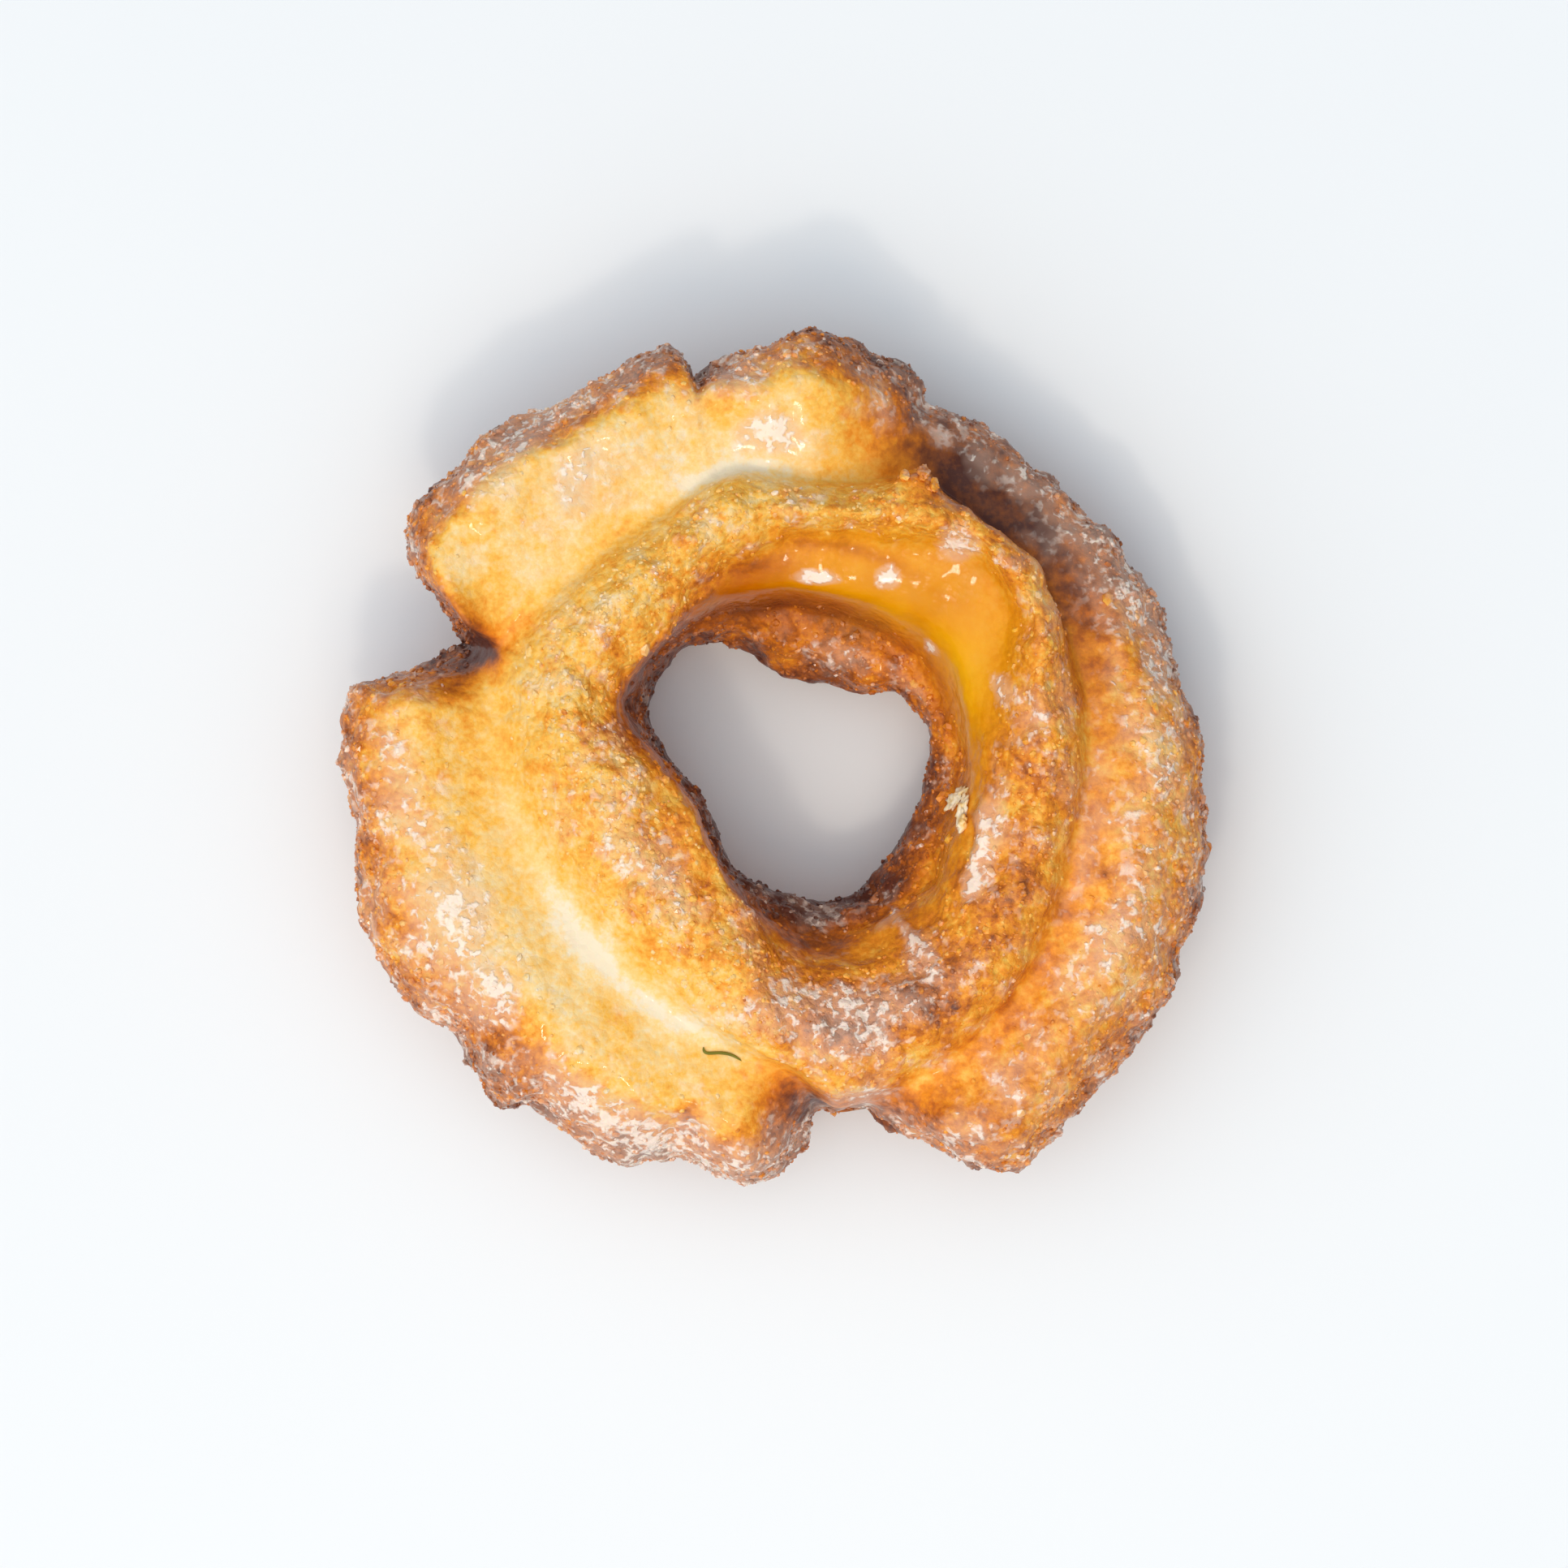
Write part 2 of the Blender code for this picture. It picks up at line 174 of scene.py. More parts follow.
# The dough is one ring of soft batter, fried until its skin split as the crumb swelled: a raised
# inner ring round the hole, three broad petals with craggy rims, and a rounded underside.
# Each feature of its cross-section is a closed curve of the angle round the hole.
FULL_TURN = 360.0
HOLE_CENTRE = (2.6, -1.5)
COLUMNS = 600
ROWS = 164
TOP_END = 64.0
TOP_EASE = 4.0
UNDERSIDE_START = 78.0
INNER_WALL_START = 104.0
INNER_WALL_EASE = 3.0
TOP_CROWDING = 2.4
WAIST_DEPTH = 0.5
FOOT_INSET = 9.0
FOOT_WIDTH = 6.5
HEEL_REACH = 0.4
HEEL_HEIGHT = 2.6
INNER_BELLY_HEIGHT = 6.8
INNER_BELLY_BULGE = 0.8

# The hole and the low lip round it
THROAT_RADIUS = [
    (0, 14.0), (20, 15.2), (40, 14.0), (52, 11.1), (65, 10.3), (90, 9.9), (104, 11.6), (117, 15.2),
    (136, 18.2), (158, 16.9), (170, 13.7), (184, 11.4), (208, 10.1), (240, 11.7), (268, 12.7),
    (290, 13.9), (327, 12.7),
]
THROAT_HEIGHT = [(0, 12), (45, 10), (90, 9.5), (140, 9), (180, 12), (210, 14), (250, 13), (300, 11)]
LIP_RADIUS = [
    (0, 16.0), (20, 16.2), (45, 15.3), (60, 14.3), (80, 14.3), (100, 15.2), (116, 17.6), (136, 19.0),
    (156, 18.6), (174, 13.3), (200, 10.7), (235, 11.9), (262, 13.8), (285, 16.0), (310, 16.0), (340, 15.4),
]
LIP_HEIGHT = [
    (0, 17), (20, 15.5), (45, 14.5), (80, 15), (120, 15), (150, 15), (175, 18), (200, 19.5), (235, 19),
    (262, 17), (285, 16.5), (340, 17.5),
]

# The crease above the lip, the smooth bank rolling up from it, and the edge of the crust above
CREASE_RADIUS = [
    (0, 17.0), (20, 17.2), (45, 17.2), (60, 16.8), (80, 17.0), (100, 17.6), (116, 18.6), (136, 19.3),
    (156, 19.0), (174, 13.6), (200, 10.9), (235, 12.2), (262, 14.8), (285, 17.0), (310, 17.2), (340, 16.6),
]
CREASE_HEIGHT = [
    (0, 18.5), (20, 16.4), (45, 15), (80, 15.4), (120, 15.8), (150, 16), (175, 19.5), (200, 21.5),
    (235, 21), (262, 19), (285, 17.6), (340, 19),
]
BANK_RADIUS = [
    (0, 18.8), (20, 19.4), (45, 21.6), (60, 20.9), (80, 20.0), (100, 20.0), (118, 19.8), (138, 19.6),
    (156, 20.0), (174, 14.2), (200, 11.1), (235, 12.7), (262, 16.4), (285, 19.2), (310, 19.2), (340, 18.4),
]
BANK_HEIGHT = [
    (0, 23.5), (20, 23), (45, 23.4), (60, 24), (80, 24), (100, 23), (120, 22), (150, 22), (175, 24),
    (200, 25), (235, 24.6), (262, 22.6), (285, 21), (310, 22), (340, 23.8),
]
INNER_EDGE_RADIUS = [
    (0, 21.0), (12, 21.8), (22, 23.2), (30, 25.5), (38, 28.0), (48, 29.3), (57, 28.2), (65, 26.6),
    (75, 24.9), (90, 23.8), (106, 22.7), (120, 21.0), (136, 20.0), (155, 21.0), (166, 18.5), (175, 15.0),
    (186, 12.2), (206, 11.3), (235, 13.0), (250, 15.0), (266, 19.0), (282, 21.5), (300, 22.5), (320, 21.0),
    (342, 20.6),
]
INNER_EDGE_HEIGHT = [
    (0, 26.6), (30, 26.4), (50, 26.4), (68, 26), (90, 25.4), (120, 25), (155, 25.5), (178, 27),
    (205, 28.5), (235, 28), (260, 26), (282, 24.6), (305, 25), (340, 26.6),
]

# The ring's crest, the way it falls outwards, and the valley at its foot
CREST_RADIUS = [
    (0, 25.6), (20, 27.2), (38, 30.6), (50, 31.4), (64, 30.0), (80, 27.8), (105, 27.0), (130, 25.8),
    (152, 26.2), (168, 23.5), (186, 20.0), (206, 18.8), (232, 19.4), (252, 21.2), (268, 25.2), (284, 27.8),
    (305, 27.6), (330, 26.0),
]
CREST_HEIGHT = [
    (0, 29.5), (30, 30.2), (50, 30.6), (66, 31), (90, 29.6), (120, 29), (150, 28.8), (176, 30), (206, 31),
    (236, 30.4), (262, 29), (285, 28), (310, 28.8), (335, 29.6),
]
VALLEY_RADIUS = [
    (0, 30.8), (15, 31.6), (33, 32.7), (42, 33.8), (52, 33.2), (62, 33.5), (67.5, 34.7), (72, 32.8),
    (85, 31.1), (103, 33.0), (118, 31.2), (135, 31.6), (158, 33.7), (175, 31.4), (196, 29.6), (214, 27.9),
    (236, 28.2), (258, 30.0), (270, 31.6), (278, 35.0), (292, 34.7), (312, 33.2), (332, 31.3), (348, 30.2),
]
VALLEY_HEIGHT = [
    (0, 24.2), (20, 22), (36, 19.6), (52, 18.6), (66, 19.4), (78, 22.4), (92, 24), (120, 24), (145, 23.8),
    (158, 22.5), (175, 23.8), (200, 24.8), (230, 25), (255, 24.4), (268, 22.8), (280, 20), (295, 22.4),
    (320, 23.8), (345, 24.6),
]
SHOULDER_REACH = [
    (0, 0.6), (25, 0.7), (40, 0.86), (66, 0.9), (78, 0.68), (150, 0.56), (230, 0.5), (272, 0.78),
    (300, 0.62),
]
SHOULDER_DROP = [
    (0, 0.4), (25, 0.34), (40, 0.24), (66, 0.22), (78, 0.38), (150, 0.45), (230, 0.45), (272, 0.3),
    (300, 0.4),
]

# The petals: the outline seen from above, and how high crown, brow and rim stand
RIM_RADIUS = [
    (0, 43.0), (10.5, 42.8), (14, 42.1), (36, 42.1), (45, 41.6), (60, 42.2), (71, 41.8), (72.5, 43.4),
    (80, 45.2), (86, 46.3), (91, 46.5), (94, 45.4), (101, 45.0), (104.6, 43.4), (105.8, 46.8), (108, 47.3),
    (117, 46.3), (124, 46.4), (128, 47.6), (144, 49.2), (148.5, 48.4), (152, 44.8), (156, 39.0),
    (158.5, 37.7), (162, 39.6), (167.4, 45.4), (168.6, 48.2), (177, 48.4), (188, 47.0), (202, 47.6),
    (211, 47.2), (217, 45.6), (228, 46.8), (231.5, 45.1), (244, 45.2), (254, 42.1), (261, 43.8),
    (266, 43.0), (269, 39.8), (274, 35.4), (278, 36.0), (282, 35.9), (284.5, 38.6), (290, 41.2),
    (294.5, 45.6), (300, 47.9), (307, 46.9), (318, 45.5), (330, 45.5), (337, 44.3), (350, 43.9),
]
PETAL_OPEN = [
    (0, 1), (60, 1), (72, 1), (104, 1), (155, 1), (158, 0), (160.5, 0.1), (165, 0.55), (170, 1), (215, 1),
    (261, 1), (268, 0.5), (273.5, 0), (283, 0), (288.5, 0.5), (294.5, 1), (330, 1),
]
CROWN_SHARE = [
    (0, 0.5), (60, 0.4), (78, 0.62), (98, 0.63), (104.6, 0.7), (105.8, 0.53), (112, 0.62), (150, 0.66),
    (172, 0.5), (262, 0.45), (300, 0.5),
]
CROWN_HEIGHT = [
    (0, 24.8), (20, 22), (38, 18.6), (54, 17.4), (67, 18.2), (76, 21.8), (88, 26.8), (106, 26.4),
    (128, 27), (155, 26.2), (172, 26), (202, 26.6), (230, 26.6), (256, 25), (294, 24.6),
    (312, 25.8), (340, 25.6),
]
BROW_HEIGHT = [
    (0, 20.8), (20, 18.8), (38, 16.6), (54, 15.8), (67, 16.4), (76, 19.4), (88, 24.6), (104, 21.8),
    (106, 24.2), (128, 24), (155, 24), (172, 24), (202, 23.8), (230, 22.8), (253, 19.4), (262, 21.6),
    (296, 21.6), (330, 21.4),
]
RIM_HEIGHT = [
    (0, 15), (38, 12.6), (67, 12.6), (76, 15), (88, 18.5), (104, 15), (106, 18.8), (130, 17.8), (172, 18),
    (202, 17), (230, 15.6), (254, 13.6), (300, 16), (330, 15.5),
]
GAP_CROWN_HEIGHT = 17.0
GAP_BROW_HEIGHT = 13.0
GAP_RIM_HEIGHT = 9.5
BROW_SHARE = 0.84
UNDER_RIM_REACH = 0.55
UNDER_RIM_RISE = 0.45

# The belly under the petals, and where it rests
BODY_RADIUS = [
    (0, 39.8), (40, 39.2), (70, 39.6), (100, 40.8), (130, 41.2), (148, 40.4), (158, 36.8), (170, 40.8),
    (185, 41.6), (215, 41), (250, 39.4), (264, 38.4), (277, 34.2), (290, 38.2), (305, 41), (330, 40.6),
]
WAIST_HEIGHT = [(0, 10.2), (55, 8.4), (110, 11.2), (150, 10), (205, 10.8), (250, 9), (300, 10.8)]
BELLY_HEIGHT = [(0, 6.4), (70, 5.2), (130, 6.8), (210, 6.2), (270, 5), (320, 6.6)]

# Where the section's features lie on its way round, in millimetres of a middling section
SECTION = [
    ("throat", 0), ("lip", 6), ("crease", 9), ("bank", 14), ("inner_edge", 19), ("crest", 25),
    ("shoulder", 32), ("valley", 38), ("crown", 46), ("brow", 53), ("rim", 59), ("under_rim", 65),
    ("waist", 70), ("belly", 75), ("foot_outer", 83), ("foot_inner", 93), ("heel", 100),
    ("inner_belly", 106),
]
SECTION_LENGTH = 112.0

# How craggy the crust is at each feature, and the layers of crags: size, share and seed
CRAG_DEPTH = {
    "throat": 0.5, "lip": 0.7, "crease": 0.3, "bank": 0.3, "inner_edge": 0.6, "crest": 0.9,
    "shoulder": 0.5, "valley": 0.15, "crown": 0.25, "brow": 0.7, "rim": 0.8, "under_rim": 0.8,
    "waist": 0.8, "belly": 0.8, "foot_outer": 0.0, "foot_inner": 0.0, "heel": 0.4, "inner_belly": 0.4,
}
CRAG_LAYERS = [(15.0, 0.9, 11), (8.0, 0.8, 12), (4.8, 0.6, 13)]
LATTICE_CELLS = 256
RELIEF_GAIN = 1.6

# Places where the outline turns sharply, so the columns stand closer: angle, spread, extra
FINE_STEPS = 3601
CLOSE_COLUMNS = [
    (71.8, 1.5, 2.5), (105.2, 1.5, 3.0), (156, 4.0, 1.2), (168.2, 2.0, 2.0), (270, 4.0, 0.8),
    (287, 5.0, 0.8),
]


def closed_curve(knots, values, at, period):
    """Values of a smooth closed curve through the knots that never overshoots them.

    Each span is a cubic. The slope at a knot is the harmonic mean of the two straight
    slopes beside it, or level where the curve turns back.
    """
    knots = np.asarray(knots, float)
    values = np.asarray(values, float)
    places = np.concatenate([knots[-2:] - period, knots, knots[:2] + period])
    held = np.concatenate([values[-2:], values, values[:2]])
    tall = (-1,) + (1,) * (values.ndim - 1)
    slopes = np.diff(held, axis=0) / np.diff(places).reshape(tall)
    before, after = slopes[:-1], slopes[1:]
    going_on = before * after > 0
    total = np.where(going_on, before + after, 1.0)
    tangents = np.where(going_on, 2 * before * after / total, 0.0)
    places, held = places[1:-1], held[1:-1]
    at = (np.asarray(at, float) - places[0]) % period + places[0]
    span = np.clip(np.searchsorted(places, at, side="right") - 1, 0, len(places) - 2)
    width = (places[span + 1] - places[span]).reshape(tall)
    t = ((at - places[span]) / (places[span + 1] - places[span])).reshape(tall)
    rise = held[span + 1] - held[span]
    ease = t * t * (3 - 2 * t)
    lean_in = t * (1 - t) ** 2 * width * tangents[span]
    lean_out = t * t * (1 - t) * width * tangents[span + 1]
    return held[span] + ease * rise + lean_in - lean_out


def around(pairs, angles):
    """A feature's value at each angle, from its (angle, value) pairs."""
    knots, values = zip(*pairs)
    return closed_curve(knots, values, angles, FULL_TURN)


def spread_places(count, length, density):
    """Places of grid lines on a closed way, crowded where the density function is high."""
    fine = np.linspace(0.0, length, FINE_STEPS)
    crowd = density(fine)
    passed = np.concatenate([[0.0], np.cumsum((crowd[1:] + crowd[:-1]) / 2)])
    return np.interp(np.arange(count) / count, passed / passed[-1], fine)


def column_density(angles):
    """One everywhere, plus a bell of extra columns round each sharp turn of the outline."""
    bells = [extra * np.exp(-(((angles - turn) / spread) ** 2)) for turn, spread, extra in CLOSE_COLUMNS]
    return 1.0 + sum(bells)


def cracked_share(way):
    """1 on the cracked side of the section, eased to 0 at the end of it."""
    return np.clip((TOP_END - way) / TOP_EASE, 0.0, 1.0)


def row_density(way):
    """One on the underside and more on the cracked side and the inner wall, eased between."""
    shown = cracked_share(way) + np.clip((way - INNER_WALL_START) / INNER_WALL_EASE, 0.0, 1.0)
    return 1.0 + (TOP_CROWDING - 1.0) * shown


def lattice_noise(points, size, seed):
    """Smooth random relief from -1 to 1: random slopes on a lattice, eased between its corners."""
    rng = np.random.RandomState(seed)
    order = rng.permutation(LATTICE_CELLS)
    slopes = rng.normal(size=(LATTICE_CELLS, 3))
    slopes /= np.linalg.norm(slopes, axis=1, keepdims=True)
    scaled = points / size
    corner = np.floor(scaled).astype(int)
    offset = scaled - corner
    ease = offset**3 * (offset * (offset * 6 - 15) + 10)
    total = np.zeros(points.shape[:-1])
    for step in np.ndindex(2, 2, 2):
        cell = (corner + step) % LATTICE_CELLS
        pick = order[(order[cell[..., 0]] + cell[..., 1]) % LATTICE_CELLS]
        pick = order[(pick + cell[..., 2]) % LATTICE_CELLS]
        weight = np.where(np.array(step) == 1, ease, 1 - ease).prod(axis=-1)
        total += weight * (slopes[pick] * (offset - step)).sum(axis=-1)
    return total * RELIEF_GAIN


def grains(points, size, seed):
    """Relief of packed round grains, 0 in the gaps to 1 on top.

    Each cell of a lattice holds one ball at a random place, and the relief is the highest
    of one minus the squared distance over the ball's squared radius.
    """
    rng = np.random.RandomState(seed)
    order = rng.permutation(LATTICE_CELLS)
    shift = rng.uniform(-0.38, 0.38, size=(LATTICE_CELLS, 3))
    radius = rng.uniform(0.5, 0.95, size=LATTICE_CELLS)
    scaled = points / size
    corner = np.floor(scaled).astype(int)
    top = np.zeros(points.shape[:-1])
    for step in np.ndindex(3, 3, 3):
        home = corner + step - 1
        cell = home % LATTICE_CELLS
        pick = order[(order[cell[..., 0]] + cell[..., 1]) % LATTICE_CELLS]
        pick = order[(pick + cell[..., 2]) % LATTICE_CELLS]
        away = scaled - home - 0.5 - shift[pick]
        top = np.maximum(top, (1 - (away**2).sum(axis=-1) / radius[pick] ** 2) * radius[pick])
    return top


def mix(low, high, share):
    """The value a share of the way from low to high."""
    return low + (high - low) * share


def section_features(angles):
    """Radius and height of every feature of the cross-section at each angle."""
    throat = around(THROAT_RADIUS, angles)
    valley = around(VALLEY_RADIUS, angles)
    valley_height = around(VALLEY_HEIGHT, angles)
    crest = around(CREST_RADIUS, angles)
    crest_height = around(CREST_HEIGHT, angles)
    rim = around(RIM_RADIUS, angles)
    body = around(BODY_RADIUS, angles)
    petal = around(PETAL_OPEN, angles)
    rim_height = mix(GAP_RIM_HEIGHT, around(RIM_HEIGHT, angles), petal)
    waist_height = around(WAIST_HEIGHT, angles)
    foot = body - FOOT_INSET
    inner_foot = foot - FOOT_WIDTH
    level = np.zeros_like(angles)
    return {
        "throat": (throat, around(THROAT_HEIGHT, angles)),
        "lip": (around(LIP_RADIUS, angles), around(LIP_HEIGHT, angles)),
        "crease": (around(CREASE_RADIUS, angles), around(CREASE_HEIGHT, angles)),
        "bank": (around(BANK_RADIUS, angles), around(BANK_HEIGHT, angles)),
        "inner_edge": (around(INNER_EDGE_RADIUS, angles), around(INNER_EDGE_HEIGHT, angles)),
        "crest": (crest, crest_height),
        "shoulder": (
            mix(crest, valley, around(SHOULDER_REACH, angles)),
            mix(crest_height, valley_height, around(SHOULDER_DROP, angles)),
        ),
        "valley": (valley, valley_height),
        "crown": (
            mix(valley, rim, around(CROWN_SHARE, angles)),
            mix(GAP_CROWN_HEIGHT, around(CROWN_HEIGHT, angles), petal),
        ),
        "brow": (
            mix(valley, rim, BROW_SHARE),
            mix(GAP_BROW_HEIGHT, around(BROW_HEIGHT, angles), petal),
        ),
        "rim": (rim, rim_height),
        "under_rim": (
            mix(body, rim, UNDER_RIM_REACH),
            mix(waist_height, rim_height, UNDER_RIM_RISE),
        ),
        "waist": (body - WAIST_DEPTH, waist_height),
        "belly": (body, around(BELLY_HEIGHT, angles)),
        "foot_outer": (foot, level),
        "foot_inner": (inner_foot, level),
        "heel": (mix(throat, inner_foot, HEEL_REACH), level + HEEL_HEIGHT),
        "inner_belly": (throat + INNER_BELLY_BULGE, level + INNER_BELLY_HEIGHT),
    }


def grid_normals(points):
    """Outward unit normals of a closed grid of rows by columns."""
    along_row = np.roll(points, -1, axis=1) - np.roll(points, 1, axis=1)
    along_column = np.roll(points, -1, axis=0) - np.roll(points, 1, axis=0)
    normals = np.cross(along_column, along_row)
    return normals / np.linalg.norm(normals, axis=-1, keepdims=True)


def by_feature(table, way):
    """A value at each place round the section, from one value per feature."""
    knots = [place for _, place in SECTION]
    return closed_curve(knots, [table[name] for name, _ in SECTION], way, SECTION_LENGTH)


def grid_faces(rows, columns):
    """Four-sided faces between neighbouring rows and columns, closed both ways round."""
    row, column = np.meshgrid(np.arange(rows), np.arange(columns), indexing="ij")
    next_row = (row + 1) % rows
    next_column = (column + 1) % columns
    corners = [(row, column), (next_row, column), (next_row, next_column), (row, next_column)]
    return np.stack([r * columns + c for r, c in corners], axis=-1).reshape(-1, 4)


def spots(places, angle, radius):
    """Sum of soft oval spots on the plan: each is its amount times a bell in angle and radius."""
    total = np.zeros_like(angle)
    for middle, reach, half_turn, half_width, amount in places:
        turn = (angle - middle + 180.0) % FULL_TURN - 180.0
        total += amount * np.exp(-((turn / half_turn) ** 2) - ((radius - reach) / half_width) ** 2)
    return total


# How crumbly the crust is at each feature, and where that differs. Each spot is given as its
# angle, radius, half turn, half width and amount.
CRUMB = {
    "throat": 0.7, "lip": 1.0, "crease": 0.9, "bank": 0.3, "inner_edge": 0.75, "crest": 1.0,
    "shoulder": 0.6, "valley": 0.15, "crown": 0.4, "brow": 0.85, "rim": 1.0, "under_rim": 0.8,
    "waist": 0.7, "belly": 0.6, "foot_outer": 0.0, "foot_inner": 0.0, "heel": 0.3, "inner_belly": 0.5,
}
SMOOTH_SPOTS = [
    (62, 22.5, 36, 3, -0.6), (56, 36.5, 22, 3, -0.5), (335, 37, 45, 4, 0.35), (200, 36, 30, 4, 0.15),
]
SYRUP_SMOOTHING = 0.7

# Packed grains and looser lumps on the crumbly crust: size, depth and seed. The last number of a
# layer of lumps is how much of it stays where the crust is smooth.
GRAIN_LAYERS = [(2.6, 0.32, 21), (1.6, 0.32, 22), (1.15, 0.22, 23)]
GRAIN_LEVEL = 0.45
LUMP_LAYERS = [(3.1, 0.36, 31, 0.35), (1.7, 0.3, 32, 0.0)]

# How brown the crust is at each feature of the section, round the ring. Part of it is painted
# shade: the throat, lip and crease deep in the hole, the bank's left end under the crust's edge
# (about 98 to 120 degrees), and the low valley, crown and brow in the ring's shadow at the upper
# right (about 36 to 62 degrees) are darker for shade as well as for their own brown crust.
BROWNING = {
    "throat": [(0, 0.92), (90, 0.82), (150, 1.0), (200, 1.08), (250, 1.12), (300, 1.04)],
    "lip": [
        (0, 0.76), (60, 0.66), (100, 0.7), (150, 0.92), (200, 0.92), (260, 1.02), (290, 0.98),
        (325, 0.84),
    ],
    "crease": [
        (0, 0.66), (60, 0.7), (110, 0.78), (150, 0.9), (200, 0.7), (260, 0.84), (290, 0.8), (325, 0.66),
    ],
    "bank": [
        (0, 0.48), (50, 0.37), (76, 0.46), (98, 0.64), (115, 0.74), (150, 0.82), (190, 0.6),
        (260, 0.68), (320, 0.56),
    ],
    "inner_edge": [
        (0, 0.54), (60, 0.46), (110, 0.56), (150, 0.6), (200, 0.5), (270, 0.58), (330, 0.52),
    ],
    "crest": [
        (0, 0.52), (40, 0.48), (80, 0.37), (125, 0.3), (200, 0.36), (240, 0.42), (285, 0.64),
        (330, 0.64),
    ],
    "shoulder": [
        (0, 0.5), (40, 0.62), (62, 0.6), (90, 0.32), (140, 0.3), (200, 0.3), (245, 0.32), (290, 0.5),
    ],
    "valley": [
        (0, 0.48), (22, 0.58), (38, 0.9), (60, 0.88), (76, 0.46), (92, 0.22), (110, 0.2), (140, 0.22),
        (157, 0.5), (170, 0.34), (195, 0.26), (212, 0.18), (245, 0.2), (262, 0.34), (270, 0.6),
        (283, 0.7), (300, 0.52), (330, 0.5),
    ],
    "crown": [
        (0, 0.4), (20, 0.5), (36, 0.88), (62, 0.92), (74, 0.58), (86, 0.3), (110, 0.22), (140, 0.24),
        (150, 0.26), (157, 0.8), (166, 0.7), (173, 0.34), (200, 0.29), (240, 0.28), (260, 0.34),
        (268, 0.8), (286, 0.86), (298, 0.5), (325, 0.38), (345, 0.4),
    ],
    "brow": [
        (0, 0.54), (20, 0.62), (38, 0.84), (62, 0.88), (76, 0.72), (90, 0.62), (120, 0.64), (145, 0.64),
        (156, 0.8), (165, 0.72), (172, 0.56), (205, 0.54), (235, 0.64), (261, 0.66), (269, 0.8),
        (288, 0.78), (298, 0.58), (330, 0.56),
    ],
    "rim": [
        (0, 0.8), (50, 0.84), (85, 0.82), (120, 0.76), (160, 0.8), (205, 0.74), (265, 0.74),
        (310, 0.78),
    ],
    "under_rim": [(0, 0.8), (120, 0.76), (210, 0.74), (280, 0.84)],
    "waist": [(0, 0.82), (60, 0.72), (120, 0.84), (180, 0.74), (240, 0.86), (300, 0.76)],
    "belly": [(0, 0.72), (70, 0.82), (140, 0.74), (210, 0.84), (280, 0.72)],
    "foot_outer": [(0, 0.72), (180, 0.74)],
    "foot_inner": [(0, 0.72), (180, 0.7)],
    "heel": [(0, 0.68), (180, 0.66)],
    "inner_belly": [(0, 0.78), (150, 0.9), (260, 0.8)],
}

# Smaller places that are browner or paler than the rest. Some browner ones are painted shade:
# the dark line under the crust's edge at 75 and 105 degrees, the crease at 85 degrees, the pit at
# the foot of the gap at 158.5 degrees, and the valley's foot at 345 degrees.
BROWNER_SPOTS = [
    (0, 36, 24, 4, 0.05), (66, 33.5, 6, 2, 0.1), (75, 24.3, 20, 0.6, 0.16), (80, 39, 8, 3, 0.1),
    (85, 18.2, 28, 0.9, 0.25), (99, 41, 5, 2, 0.06), (100, 42, 3, 2, 0.2), (105, 22.3, 12, 0.8, 0.16),
    (122, 31.4, 10, 1.5, 0.06), (158.5, 35.2, 2.2, 2.2, 0.5), (162, 39.5, 3, 5, 0.15),
    (170, 24.8, 14, 3, 0.04), (223, 41.8, 7, 3.5, 0.24), (230, 30.1, 6, 2, 0.14),
    (247, 42.5, 8, 3, 0.08), (252.3, 37.1, 1.6, 1.3, 0.4), (281, 26, 16, 3, 0.06),
    (301, 42, 5, 3, 0.08), (308, 27, 14, 3, 0.07), (324, 37, 15, 4, 0.06), (341, 26, 10, 3, 0.05),
    (345, 31.5, 14, 1.5, 0.04), (345, 31.6, 12, 1.5, 0.08),
]
PALER_SPOTS = [
    (24, 36, 8, 2.5, -0.06), (44, 41, 7, 2, -0.08), (105, 32.6, 12, 0.9, -0.3),
    (127, 37.6, 9, 4, -0.08), (166.7, 40.9, 3, 3, -0.1), (216, 28.2, 12, 1.5, -0.28),
    (238, 28.5, 12, 1.4, -0.3),
]

# Where the inner bank is smooth and soaked with amber syrup, at each feature
AMBER = {
    "lip": [(0, 0.1), (30, 0.2), (60, 0.2), (110, 0.25), (140, 0.1), (270, 0.0), (330, 0.2)],
    "crease": [
        (0, 0.3), (30, 0.4), (60, 0.35), (115, 0.45), (150, 0.1), (200, 0.0), (270, 0.1), (330, 0.3),
    ],
    "bank": [
        (0, 0.5), (14, 0.9), (60, 1.0), (110, 1.0), (128, 0.3), (160, 0.0), (250, 0.0), (320, 0.25),
    ],
    "inner_edge": [(0, 0.1), (30, 0.7), (60, 0.7), (100, 0.4), (120, 0.0), (240, 0.0), (320, 0.05)],
}

